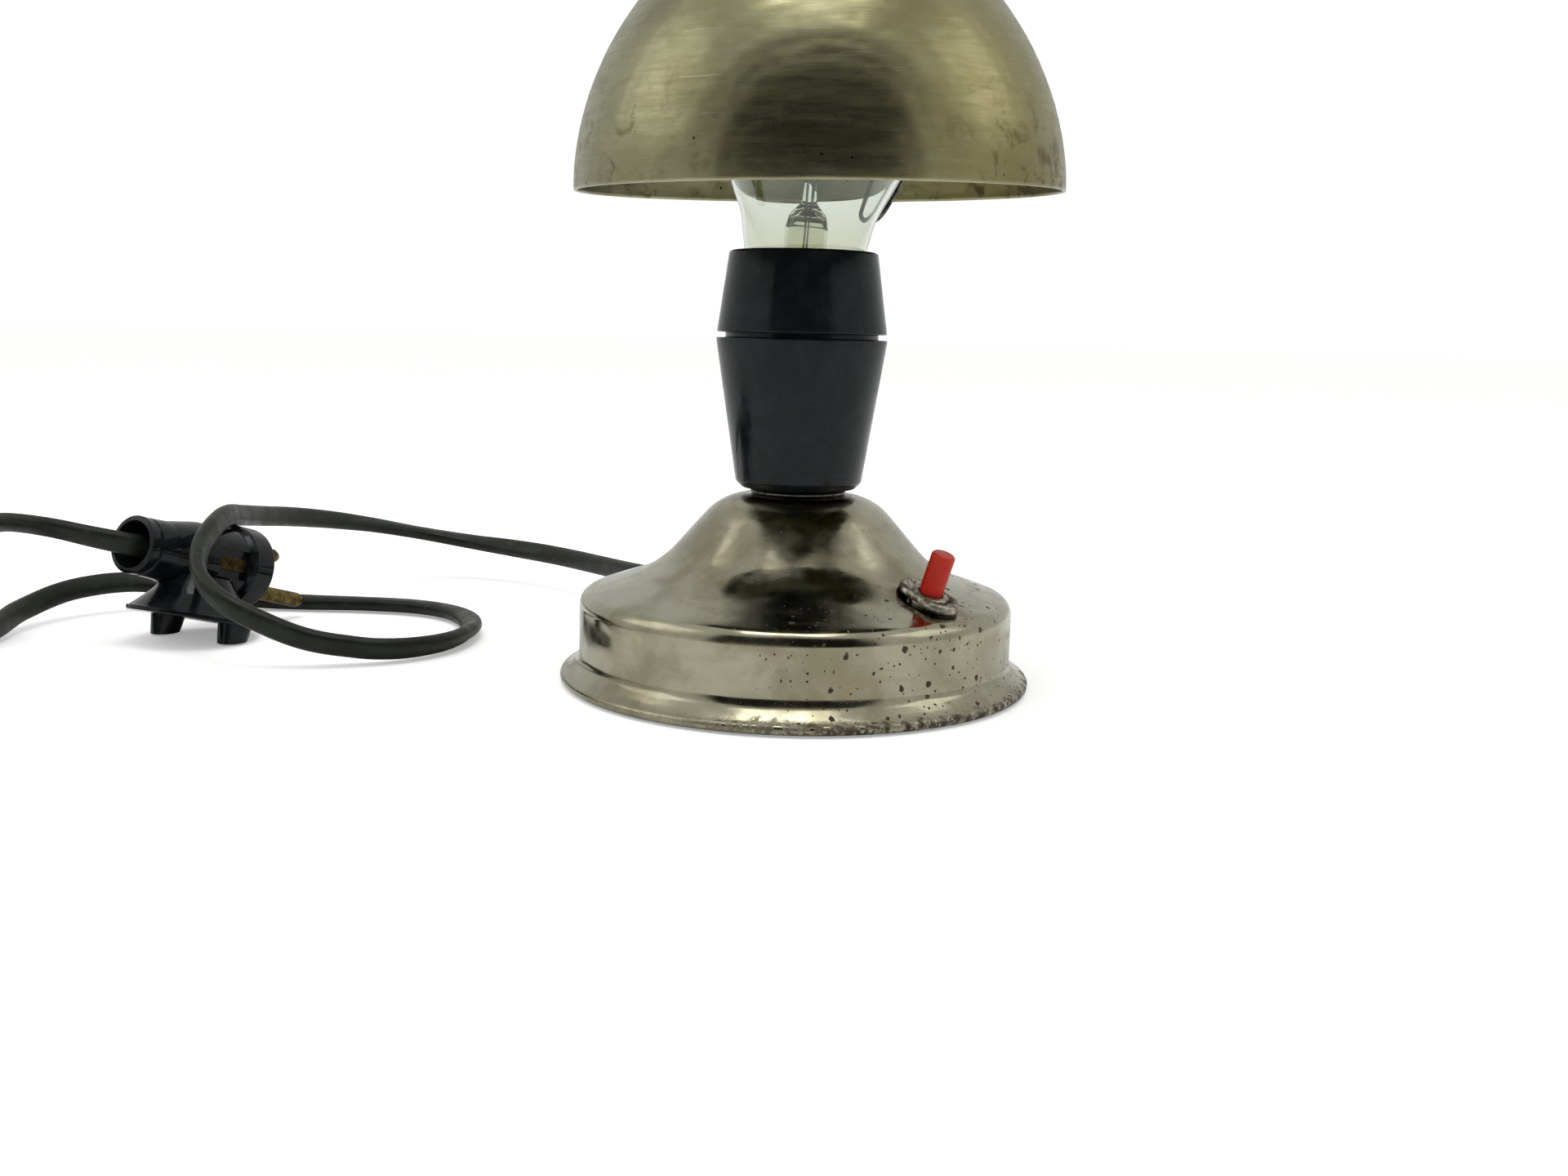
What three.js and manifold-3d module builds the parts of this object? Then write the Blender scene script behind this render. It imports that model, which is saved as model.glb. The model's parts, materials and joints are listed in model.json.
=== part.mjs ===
// Small bedside lamp: a spun metal dome clipped to a clear bulb, a moulded lampholder,
// a bell-shaped base with a push switch, and a flat mains lead with its plug.
// Millimetres, +Z up, origin at the centre of the underside, front towards -Y.
import * as THREE from 'three';
import { mergeVertices } from 'three/addons/utils/BufferGeometryUtils.js';
import Module from 'manifold-3d';

const wasm = await Module();
wasm.setup();

// ---------------------------------------------------------------- driving dimensions

const gap = 0.3;                  // left between pieces that touch

const baseWallRadius = 59.4;      // upright wall of the bell-shaped base
const baseTopHeight = 51.4;       // flat top of the bell, under the lampholder
const baseShoulderHeight = 23.6;  // where the sloping top meets the upright wall
const baseSheet = 1.0;            // thickness of the spun sheet
const baseRimOverhang = 3.9;      // how far the bead's centre stands outside the wall
const baseBeadRadius = 1.35;      // rolled bead round the foot

const nippleRadius = 5;           // hollow threaded tube that holds the stack together
const nippleBore = 3.8;
const nutAcross = 17;
const nutHeight = 4;
const feltThickness = 2;
const plateThickness = 1.2;
const ballastHeight = 11;
const ballastRadius = 50;
const ballastStudRadius = 4;

const washerRadius = 13;          // collar between the bell and the lampholder
const washerThickness = 0.7;
const holderHeight = 40.5;        // lower half of the lampholder
const holderTopRadius = 23.1;
const holderFootRadius = 17.2;
const holderWall = 2.4;
const spigotHeight = 7.6;         // threaded neck that the upper half screws onto
const spigotStep = 2.5;           // how far the neck is set in from the outside
const skirtGroove = 1.4;          // open joint between the two halves
const skirtHeight = 21.4;         // upper half of the lampholder
const skirtTopRadius = 19.85;
const skirtWall = 2.1;

const capRadius = 13.2;           // E27 screw cap
const capHeight = 25;
const capSheet = 0.4;
const threadPitch = 3.63;
const threadDepth = 0.55;
const shellSheet = 0.6;           // brass screw shell of the lampholder
const globeRadius = 30;           // A60 bulb
const globeRise = 43;             // globe centre above the neck's bend
const glassWall = 0.9;
const glassLean = THREE.MathUtils.degToRad(4.1);  // the glass is cemented crooked in its cap

const domeRadius = 64.6;
const domeHeight = 72;
const domeSheet = 0.8;
const domeExponent = 1.075;       // 1 is an exact half ellipse
const domeBelowGlobe = 25.3;      // rim plane below the globe's centre
const domeTip = THREE.MathUtils.degToRad(2.8);    // tipped towards the front
const domeLean = THREE.MathUtils.degToRad(-1.1);  // and slightly to the left
const studRadius = 2;
const clipWireRadius = 0.7;
const clipTurn = THREE.MathUtils.degToRad(40);    // the clip's loops, turned from the X axis

const switchOffset = 47;          // switch centre from the lamp's axis
const switchAzimuth = THREE.MathUtils.degToRad(-44);
const switchTilt = THREE.MathUtils.degToRad(20);
const buttonRadius = 3.1;
const buttonStandsOut = 13.6;
const buttonTravel = 4;
const bushingWall = 1.4;
const escutcheonLength = 17.5;
const escutcheonWidth = 2 * (buttonRadius + 2.4);
const escutcheonHeight = 2;

const cordWidth = 6.8;            // flat twin lead
const cordThickness = 4.5;
const cordExitAzimuth = THREE.MathUtils.degToRad(121);
const cordExitHeight = 14.5;
const glandLength = 23.5;
const coilRadius = 40.8;          // middle of the coil's turns
const coilCentre = new THREE.Vector3(-296, 2, 0);
const coilLift = 1.3;             // room for the tie under the coil
const tieThickness = 0.8;

const plugMouth = new THREE.Vector3(-192.5, 17.5, 30);
const plugAzimuth = THREE.MathUtils.degToRad(65);
const plugTilt = THREE.MathUtils.degToRad(17);
const plugLength = 44.5;
const plugFaceRadius = 12.8;
const plugWall = 1.9;
const pinRadius = 2.35;
const pinLength = 19;
const pinSpacing = 18.8;
const pinRoll = THREE.MathUtils.degToRad(45);  // the pins' plane, turned from upright
const lugSpread = 13.8;             // half the distance between the two feet
const skirtRimRadius = 19;

// ---------------------------------------------------------------- materials

const finish = {
  nickel: ['#8f8c7c', 0.28, 1], satinNickel: ['#8b8970', 0.42, 1], iron: ['#3b3835', 0.7, 0.6],
  zinc: ['#a4a49c', 0.4, 1], brass: ['#b08d45', 0.35, 1], bakelite: ['#17191a', 0.2, 0],
  porcelain: ['#e9e4d8', 0.3, 0], glass: ['#dfe3dc', 0.05, 0], springSteel: ['#4a4a48', 0.35, 1],
  redPlastic: ['#d2341f', 0.35, 0], rubber: ['#23261f', 0.6, 0], felt: ['#2b3a2c', 0.95, 0],
  wireRed: ['#8f2a20', 0.5, 0], wireBlack: ['#1c1c1c', 0.5, 0], tungsten: ['#55534e', 0.5, 1],
};

const lamp = new THREE.Group();

function add(parent, name, geometry, look) {
  const [color, roughness, metalness] = finish[look];
  const mesh = new THREE.Mesh(geometry, new THREE.MeshStandardMaterial({ color, roughness, metalness }));
  mesh.name = name;
  parent.add(mesh);
  return mesh;
}

// ---------------------------------------------------------------- shape helpers

// Points along an outline whose corners [r, z, fillet] are rounded with arcs.
function rounded(corners, arcSteps = 2) {
  const points = [];
  corners.forEach(([r, z, fillet = 0], i) => {
    const corner = new THREE.Vector2(r, z);
    if (!fillet) return points.push(corner);
    const before = new THREE.Vector2(corners[i - 1][0], corners[i - 1][1]).sub(corner);
    const after = new THREE.Vector2(corners[i + 1][0], corners[i + 1][1]).sub(corner);
    const turn = Math.PI - Math.acos(before.dot(after) / (before.length() * after.length()));
    const room = 0.49 * Math.min(before.length(), after.length());
    const radius = Math.min(fillet, room / Math.tan(turn / 2));
    before.normalize();
    after.normalize();
    const middle = before.clone().add(after).normalize().multiplyScalar(radius / Math.cos(turn / 2)).add(corner);
    const start = before.multiplyScalar(radius * Math.tan(turn / 2)).add(corner).sub(middle);
    const sign = Math.sign(start.cross(after.multiplyScalar(radius * Math.tan(turn / 2)).add(corner).sub(middle)));
    for (let k = 0; k <= arcSteps; k++) {
      points.push(start.clone().rotateAround(new THREE.Vector2(), sign * turn * k / arcSteps).add(middle));
    }
  });
  return points;
}

function arc(r, z, radius, fromDegrees, toDegrees, steps) {
  return Array.from({ length: steps + 1 }, (_, k) => {
    const angle = THREE.MathUtils.degToRad(fromDegrees + (toDegrees - fromDegrees) * k / steps);
    return new THREE.Vector2(r + radius * Math.cos(angle), z + radius * Math.sin(angle));
  });
}

// The same outline moved sideways, to the right of its direction of travel.
function inset(points, distance) {
  return points.map((point, i) => {
    const from = points[Math.max(i - 1, 0)];
    const to = points[Math.min(i + 1, points.length - 1)];
    const along = to.clone().sub(from).normalize();
    return new THREE.Vector2(point.x + along.y * distance, point.y - along.x * distance);
  });
}

// A solid of revolution about Z. The outline closes on itself or starts and ends on the axis.
function turned(outline, segments) {
  const points = outline.map((p) => (p.isVector2 ? p.clone() : new THREE.Vector2(p[0], p[1])));
  const onAxis = points[0].x === 0 && points.at(-1).x === 0;
  if (!onAxis) points.push(points[0].clone());
  let area = 0;
  points.forEach((p, i) => {
    area += p.cross(points[(i + 1) % points.length]);
  });
  if (area < 0) points.reverse();
  return new THREE.LatheGeometry(points, segments).rotateX(Math.PI / 2);
}

function tubeAlong(points, width, thickness, sides, steps) {
  const section = new THREE.Shape();
  for (let k = 0; k < sides; k++) {
    const angle = 2 * Math.PI * k / sides;
    const x = thickness / 2 * Math.cos(angle);
    const y = width / 2 * Math.sin(angle);
    if (k === 0) section.moveTo(x, y);
    else section.lineTo(x, y);
  }
  const extrudePath = new THREE.CatmullRomCurve3(points.map(([x, y, z]) => new THREE.Vector3(x, y, z)));
  return new THREE.ExtrudeGeometry(section, { steps, extrudePath, bevelEnabled: false });
}

function hexagonNut(across, bore, height) {
  const section = new THREE.Shape();
  for (let k = 0; k < 6; k++) {
    const angle = Math.PI / 3 * k;
    section[k ? 'lineTo' : 'moveTo'](across / Math.sqrt(3) * Math.cos(angle), across / Math.sqrt(3) * Math.sin(angle));
  }
  const hole = new THREE.Path();
  hole.absarc(0, 0, bore, 0, 2 * Math.PI, true);
  section.holes.push(hole);
  return new THREE.ExtrudeGeometry(section, { depth: height, bevelEnabled: false, curveSegments: 12 });
}

function toSolid(geometry) {
  const plain = geometry.clone();
  plain.deleteAttribute('normal');
  plain.deleteAttribute('uv');
  const merged = mergeVertices(plain, 1e-4);
  const vertProperties = new Float32Array(merged.attributes.position.array);
  return new wasm.Manifold(new wasm.Mesh({ numProp: 3, vertProperties, triVerts: new Uint32Array(merged.index.array) }));
}

function toGeometry(solid) {
  const mesh = solid.getMesh();
  const geometry = new THREE.BufferGeometry();
  geometry.setAttribute('position', new THREE.BufferAttribute(new Float32Array(mesh.vertProperties), 3));
  geometry.setIndex(new THREE.BufferAttribute(new Uint32Array(mesh.triVerts), 1));
  return geometry;
}

function cut(geometry, ...tools) {
  return toGeometry(tools.reduce((solid, tool) => solid.subtract(toSolid(tool)), toSolid(geometry)));
}

// ---------------------------------------------------------------- heights of the stack

const plateBottom = feltThickness + gap;
const ballastBottom = plateBottom + plateThickness + gap;
const ballastTop = ballastBottom + ballastHeight;
const washerBottom = baseTopHeight + gap;
const holderBottom = washerBottom + washerThickness + gap;
const holderTop = holderBottom + holderHeight;
const skirtBottom = holderTop + skirtGroove;
const skirtTop = skirtBottom + skirtHeight;
const holderFloor = holderBottom + 5;
const capTop = skirtTop - 6.5;
const capBottom = capTop - capHeight;
const neckBend = skirtTop - 2;      // where the crooked glass starts to lean

// ---------------------------------------------------------------- frames that lean

const switchFrame = new THREE.Group();
const switchHeight = baseShoulderHeight + (baseWallRadius - switchOffset) * 0.339 + 0.2;
switchFrame.position.set(
  switchOffset * Math.cos(switchAzimuth), switchOffset * Math.sin(switchAzimuth), switchHeight);
switchFrame.rotation.set(0, switchTilt, switchAzimuth, 'ZYX');
switchFrame.updateMatrixWorld(true);

const cordExit = new THREE.Group();
cordExit.position.set(
  baseWallRadius * Math.cos(cordExitAzimuth), baseWallRadius * Math.sin(cordExitAzimuth), cordExitHeight);
cordExit.rotation.set(0, Math.PI / 2, cordExitAzimuth, 'ZYX');
cordExit.updateMatrixWorld(true);

const glassFrame = new THREE.Group();
glassFrame.position.set(0, 0, neckBend);
glassFrame.rotation.y = glassLean;

const shadeFrame = new THREE.Group();
shadeFrame.position.set(globeRise * Math.sin(glassLean), 0, neckBend + globeRise * Math.cos(glassLean));
shadeFrame.rotation.set(domeTip, domeLean, 0, 'YXZ');

const plugFrame = new THREE.Group();
plugFrame.position.copy(plugMouth);
plugFrame.rotation.set(0, plugTilt, plugAzimuth, 'ZYX');
plugFrame.updateMatrixWorld(true);

lamp.add(switchFrame, cordExit, glassFrame, shadeFrame, plugFrame);

// ---------------------------------------------------------------- base

const bushingRadius = buttonRadius + gap + bushingWall;
const glandNeckRadius = cordWidth / 2 + 1.1;
const beadCentre = new THREE.Vector2(baseWallRadius + baseRimOverhang, baseBeadRadius + 0.2);
const nippleHole = nippleRadius + gap;

function baseCover() {
  const outside = rounded([
    [nippleHole, baseTopHeight],
    [20.3, baseTopHeight, 22],
    [38.6, baseShoulderHeight + (baseWallRadius - 38.6) * 0.339, 28],
    [baseWallRadius, baseShoulderHeight, 4.5],
    [baseWallRadius, 8.2, 12],
    [beadCentre.x - 0.4, beadCentre.y + baseBeadRadius + 0.4],
  ]);
  const inside = inset(outside, baseSheet).reverse();
  inside.at(-1).x = nippleHole;
  const bead = arc(beadCentre.x, beadCentre.y, baseBeadRadius, 70, -200, 6);
  const shell = turned([...outside, ...bead, ...inside.slice(1)], 36);
  const switchHole = new THREE.CylinderGeometry(bushingRadius + gap, bushingRadius + gap, 8, 20)
    .rotateX(Math.PI / 2).applyMatrix4(switchFrame.matrixWorld);
  const cordHole = new THREE.CylinderGeometry(glandNeckRadius + gap, glandNeckRadius + gap, 8, 16)
    .rotateX(Math.PI / 2).applyMatrix4(cordExit.matrixWorld);
  return cut(shell, switchHole, cordHole);
}

const switchBodyTop = -4.75;
const switchBodyLength = 16.5;
const switchBodyRadius = 7;

function ballast() {
  const ring = turned([
    [ballastStudRadius + gap, ballastBottom], [ballastRadius, ballastBottom], [ballastRadius, ballastTop - 1.5],
    [ballastRadius - 1.5, ballastTop], [ballastStudRadius + gap, ballastTop],
  ], 32);
  const roomForSwitch = new THREE.BoxGeometry(32, 26, 4 * ballastHeight).translate(48, 0, ballastTop)
    .rotateZ(switchAzimuth);
  const roomForCord = new THREE.BoxGeometry(36, 14, 4 * ballastHeight).translate(54, 0, ballastTop)
    .rotateZ(cordExitAzimuth);
  return cut(ring, roomForSwitch, roomForCord);
}

add(lamp, 'base_cover', baseCover(), 'nickel');
add(lamp, 'base_felt', turned([[0, 0], [58, 0], [58, feltThickness], [0, feltThickness]], 32), 'felt');
add(lamp, 'base_plate', turned([[0, plateBottom], [60.5, plateBottom], [60.5, plateBottom + plateThickness],
  [0, plateBottom + plateThickness]], 32), 'zinc');
add(lamp, 'ballast_weight', ballast(), 'iron');

add(lamp, 'ballast_stud', turned([[0, ballastBottom + 0.2], [ballastStudRadius, ballastBottom + 0.2],
  [ballastStudRadius, ballastTop + gap + nutHeight + 1], [0, ballastTop + gap + nutHeight + 1]], 16), 'zinc');
add(lamp, 'ballast_nut', hexagonNut(nutAcross, ballastStudRadius + gap, nutHeight)
  .translate(0, 0, ballastTop + gap), 'zinc');

const nippleBottom = baseTopHeight - baseSheet - gap - nutHeight - 2;
const nippleTop = holderFloor + gap + nutHeight + 1;
add(lamp, 'centre_nipple', turned([[nippleBore, nippleBottom], [nippleRadius, nippleBottom],
  [nippleRadius, nippleTop], [nippleBore, nippleTop]], 20), 'zinc');
const nutHeights = {
  nut_under_cover: baseTopHeight - baseSheet - gap - nutHeight,
  nut_in_holder: holderFloor + gap,
};
for (const [name, height] of Object.entries(nutHeights)) {
  add(lamp, name, hexagonNut(nutAcross, nippleHole, nutHeight).translate(0, 0, height), 'zinc');
}

// ---------------------------------------------------------------- lampholder

const spigotRadius = holderTopRadius - spigotStep;
const insertBottom = holderBottom + 17.5;
const insertTop = capBottom - 4.6;
const holderInnerSlope = (spigotRadius - holderFootRadius) / (holderTop - 2 - holderFloor);
const insertRadius = holderFootRadius - holderWall + (insertBottom - holderFloor) * holderInnerSlope - gap;

add(lamp, 'neck_washer', turned([[nippleHole, washerBottom], [washerRadius, washerBottom],
  [washerRadius, washerBottom + washerThickness], [nippleHole, washerBottom + washerThickness]], 32), 'zinc');

add(lamp, 'holder_body', turned([
  ...rounded([[nippleHole, holderBottom], [12.6, holderBottom], [15.4, holderBottom + 0.4],
    [holderFootRadius, holderBottom + 2]]),
  [holderTopRadius, holderTop], [spigotRadius, holderTop], [spigotRadius, holderTop + spigotHeight],
  [spigotRadius - holderWall, holderTop + spigotHeight], [spigotRadius - holderWall, holderTop - 2],
  [holderFootRadius - holderWall, holderFloor], [nippleHole, holderFloor],
], 32), 'bakelite');

add(lamp, 'holder_skirt', turned([
  [spigotRadius + gap, skirtBottom], [holderTopRadius - 0.2, skirtBottom],
  ...rounded([[holderTopRadius - 0.2, skirtBottom + 0.1], [skirtTopRadius, skirtTop, 0.7],
    [skirtTopRadius - skirtWall, skirtTop]], 2),
  [skirtTopRadius - skirtWall, holderTop + spigotHeight + 2.2], [spigotRadius + gap, holderTop + spigotHeight + gap],
], 32), 'bakelite');

const terminalSpread = 9;
const insertScrewHoles = [-1, 1].map((side) => new THREE.CylinderGeometry(1.8, 1.8, 30, 12).rotateX(Math.PI / 2)
  .translate(side * terminalSpread, 0, insertBottom));
add(lamp, 'holder_insert', cut(turned([[0, insertBottom], [insertRadius, insertBottom], [insertRadius, insertTop],
  [0, insertTop]], 32), ...insertScrewHoles), 'porcelain');

const screwOutline = [[0, -4.2], [1.5, -4.2], [1.5, 0], [2.9, 0], [2.9, 1.6], [0, 1.6]];
[-1, 1].forEach((side, i) => {
  const screw = turned(screwOutline, 14).rotateX(Math.PI).translate(side * terminalSpread, 0, insertBottom - gap);
  add(lamp, `terminal_screw_${i + 1}`, screw, 'brass');
});

const shellRadius = capRadius + threadDepth / 2 + gap;
const shellBottom = insertTop + gap;
add(lamp, 'screw_shell', turned([
  [shellRadius - 3, shellBottom], [shellRadius + shellSheet, shellBottom], [shellRadius + shellSheet, capTop - 3],
  [shellRadius, capTop - 3], [shellRadius, shellBottom + shellSheet], [shellRadius - 3, shellBottom + shellSheet],
], 32), 'brass');

const leafRise = insertTop + gap + 0.5;
const centreLeaf = [[-7, 0], [-3.5, 0], [0, capBottom - 1.6 - gap - leafRise], [2.2, capBottom - 1.6 - gap - leafRise]];
function bentLeaf(points, width, thickness) {
  const upper = points.map(([x, z]) => new THREE.Vector2(x, z));
  const lower = inset(upper, thickness).reverse();
  return new THREE.ExtrudeGeometry(new THREE.Shape([...lower, ...upper].reverse()),
    { depth: width, bevelEnabled: false }).rotateX(Math.PI / 2).translate(0, width / 2, 0);
}
add(lamp, 'centre_contact', bentLeaf(centreLeaf, 5, 0.5).translate(0, 0, leafRise), 'brass');

// ---------------------------------------------------------------- bulb

// Screw thread as a wavy outline between two heights.
function threadOutline(radius, from, to) {
  const turns = Math.floor((to - from) / threadPitch);
  const steps = turns * 2;
  return Array.from({ length: steps + 1 }, (_, k) => new THREE.Vector2(
    k % 2 ? radius - threadDepth : radius, from + turns * threadPitch * k / steps));
}

const capThread = threadOutline(capRadius, capBottom + 4, capTop - 1);
const capInside = inset([new THREE.Vector2(7, capBottom + 1), ...capThread, new THREE.Vector2(capRadius, capTop)],
  -capSheet).reverse();
add(lamp, 'bulb_cap', turned([[7, capBottom + 1], ...capThread, [capRadius, capTop], ...capInside], 20), 'brass');
add(lamp, 'cap_insulator', turned([[3.2, capBottom - 0.6], [6.2, capBottom + 0.5], [6.2, capBottom + 3.6],
  [3.2, capBottom + 3.6]], 24), 'bakelite');
add(lamp, 'cap_contact', turned([[0, capBottom - 1.6], [1.8, capBottom - 1.6], [2.9, capBottom - 0.9],
  [2.9, capBottom + 1.2], [0, capBottom + 1.2]], 20), 'zinc');

const coneStart = -26;              // latitude at which the globe runs into a cone
const [coneTop] = arc(0, globeRise, globeRadius, coneStart, 90, 1);
const coneDrop = 18.5;
const coneSlope = Math.tan(THREE.MathUtils.degToRad(-coneStart));
function glassOutside() {
  const neck = rounded([
    [10.9, -8.5], [10.9, -4.2, 1.5], [15.6, -1, 3], [16.6, 4, 8],
    [coneTop.x - coneSlope * coneDrop, coneTop.y - coneDrop, 10], [coneTop.x, coneTop.y],
  ], 2);
  return [...neck.slice(0, -1), ...arc(0, globeRise, globeRadius, coneStart, 90, 9)];
}
const glassPoints = glassOutside();
const glassPointsInside = inset(glassPoints, -glassWall).reverse();
glassPoints.at(-1).x = 0;
glassPointsInside[0].x = 0;
add(glassFrame, 'bulb_glass', turned([...glassPoints, ...glassPointsInside], 22), 'glass');

const stemTop = 25;
add(glassFrame, 'glass_stem', turned([[0, -8], [5.7, -8], [5.7, 8.5], [4.8, 11.5], [2.4, 14.5], [2.1, stemTop],
  [0, stemTop]], 14), 'glass');
for (const [side, name] of [[-1, 'lead_wire_left'], [1, 'lead_wire_right']]) {
  const leadPoints = [[side * 1.2, 0, stemTop + gap], [side * 2.5, 0, stemTop + 5], [side * 9.5, 0, stemTop + 16],
    [side * 11, 0, stemTop + 20]];
  add(glassFrame, name, tubeAlong(leadPoints, 0.8, 0.8, 6, 8), 'zinc');
}
const filamentHeight = stemTop + 20;
const filamentPoints = [-10.2, -6.4, -3.2, 0, 3.2, 6.4, 10.2].map((x, i) => [x, -5 * Math.cos(x / 7), filamentHeight + (i % 2)]);
add(glassFrame, 'filament', tubeAlong(filamentPoints, 0.7, 0.7, 5, 12), 'tungsten');

// ---------------------------------------------------------------- shade and its clip

const wireClear = globeRadius + clipWireRadius + 0.5;
function clipLoop(lowerHalf) {
  const leg = [[5, 2.5, wireClear + 0.1], [12.5, 4, wireClear * 0.915], [22, 6, 21.6], [28.6, 6.8, 11],
    [wireClear - 0.6, 7, 0.5], ...lowerHalf];
  const otherLeg = leg.slice(0, -1).reverse().map(([a, b, z]) => [a, -b, z]);
  return tubeAlong([...leg, ...otherLeg], 2 * clipWireRadius, 2 * clipWireRadius, 6, 44);
}
const longLoop = [[29.6, 6.6, -9], [26.5, 5.6, -18.3], [22.5, 4.6, -26], [19.4, 3.2, -31], [18.7, 0, -32.6]];
const shortLoop = [[29.7, 6.6, -8], [28.6, 4.2, -13.2], [28.2, 0, -15.2]];
const clipFrame = new THREE.Group();
clipFrame.rotation.z = clipTurn;
shadeFrame.add(clipFrame);
add(clipFrame, 'clip_loop_long', clipLoop(longLoop), 'springSteel');
add(clipFrame, 'clip_loop_short', clipLoop(shortLoop).rotateZ(Math.PI), 'springSteel');

const clipPlateBottom = wireClear + clipWireRadius + 2 * gap;
const clipPlateTop = clipPlateBottom + 1.2;
const domeTop = domeHeight - domeBelowGlobe;
add(clipFrame, 'clip_plate', turned([[0, clipPlateBottom], [8.5, clipPlateBottom], [8.5, clipPlateTop],
  [0, clipPlateTop]], 28), 'zinc');
add(shadeFrame, 'clip_stud', turned([[0, clipPlateTop + gap], [studRadius, clipPlateTop + gap],
  [studRadius, domeTop + 5], [0, domeTop + 5]], 14), 'zinc');
add(shadeFrame, 'clip_spacer', turned([[studRadius + gap, clipPlateTop + gap], [3.6, clipPlateTop + gap],
  [3.6, domeTop - domeSheet - 2 * gap - 0.4], [studRadius + gap, domeTop - domeSheet - 2 * gap - 0.4]], 16), 'brass');

const domeSteps = 12;
function domeOutline() {
  const points = [];
  for (let k = 0; k <= domeSteps; k++) {
    const angle = Math.PI / 2 * k / domeSteps;
    points.push(new THREE.Vector2(domeRadius * Math.cos(angle) ** domeExponent,
      domeHeight * Math.sin(angle) ** domeExponent - domeBelowGlobe));
  }
  points.at(-1).x = studRadius + gap;
  return points;
}
const domeOutside = domeOutline();
const domeInside = inset(domeOutside, -domeSheet).reverse();
domeInside[0].x = studRadius + gap;
domeInside.at(-1).y = domeOutside[0].y;
add(shadeFrame, 'shade_dome', turned([...domeOutside, ...domeInside], 36), 'satinNickel');
add(shadeFrame, 'shade_washer', turned([[studRadius + gap, domeTop + gap], [6, domeTop + gap], [6, domeTop + 1.2],
  [studRadius + gap, domeTop + 1.2]], 24), 'nickel');
add(shadeFrame, 'shade_nut', turned([
  [studRadius + gap, domeTop + 1.2 + gap], [4.6, domeTop + 1.2 + gap], ...arc(0, domeTop + 4.6, 4.6, 0, 90, 4),
  [0, domeTop + 5 + gap], [studRadius + gap, domeTop + 5 + gap],
], 18), 'nickel');

// ---------------------------------------------------------------- push switch

const escutcheonBottom = 0.75;
function oblong(length, width) {
  const shape = new THREE.Shape();
  const half = (length - width) / 2;
  shape.absarc(half, 0, width / 2, -Math.PI / 2, Math.PI / 2, false);
  shape.absarc(-half, 0, width / 2, Math.PI / 2, 3 * Math.PI / 2, false);
  return shape;
}
function escutcheon() {
  const blank = new THREE.ExtrudeGeometry(oblong(escutcheonLength, escutcheonWidth),
    { depth: escutcheonHeight, bevelEnabled: false, curveSegments: 7 });
  const dish = new THREE.ExtrudeGeometry(oblong(escutcheonLength - 2.4, escutcheonWidth - 2.4),
    { depth: escutcheonHeight, bevelEnabled: false, curveSegments: 7 }).translate(0, 0, 0.9);
  const bore = bushingRadius + gap;
  const hole = new THREE.CylinderGeometry(bore, bore, 10, 24).rotateX(Math.PI / 2);
  return cut(blank, dish, hole).translate(0, 0, escutcheonBottom);
}
add(switchFrame, 'switch_escutcheon', escutcheon(), 'nickel');
const bushingTop = escutcheonBottom + escutcheonHeight - 0.2;
const buttonBore = buttonRadius + gap;
add(switchFrame, 'switch_bushing', turned([[buttonBore, switchBodyTop + gap], [bushingRadius, switchBodyTop + gap],
  [bushingRadius, bushingTop - 0.5], [bushingRadius - 0.5, bushingTop], [buttonBore, bushingTop]], 24), 'brass');
add(switchFrame, 'switch_locknut', hexagonNut(14, bushingRadius + gap, 2.2).translate(0, 0, switchBodyTop + 2 * gap), 'zinc');
const switchBodyBottom = switchBodyTop - switchBodyLength;
add(switchFrame, 'switch_body', turned([
  [0, switchBodyBottom], [switchBodyRadius, switchBodyBottom], [switchBodyRadius, switchBodyTop],
  [buttonBore, switchBodyTop], [buttonBore, switchBodyBottom + 2], [0, switchBodyBottom + 2],
], 24), 'bakelite');
const springBottom = switchBodyBottom + 2 + gap;
const springRadius = 2.2;
const springTurns = 4;
const springWire = 0.6;
const springLength = buttonTravel + springTurns * springWire + 0.4;
const buttonTail = springBottom + springLength + gap;
add(switchFrame, 'switch_button', turned([[0, buttonTail],
  ...rounded([[buttonRadius, buttonTail], [buttonRadius, buttonStandsOut, 0.9], [0, buttonStandsOut]], 3)], 24), 'redPlastic');
const springPoints = Array.from({ length: springTurns * 8 + 1 }, (_, k) => [
  springRadius * Math.cos(Math.PI / 4 * k), springRadius * Math.sin(Math.PI / 4 * k),
  springBottom + springWire / 2 + (springLength - springWire) * k / (springTurns * 8)]);
add(switchFrame, 'switch_spring', tubeAlong(springPoints, springWire, springWire, 5, springTurns * 8), 'springSteel');

// ---------------------------------------------------------------- wires inside

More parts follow.
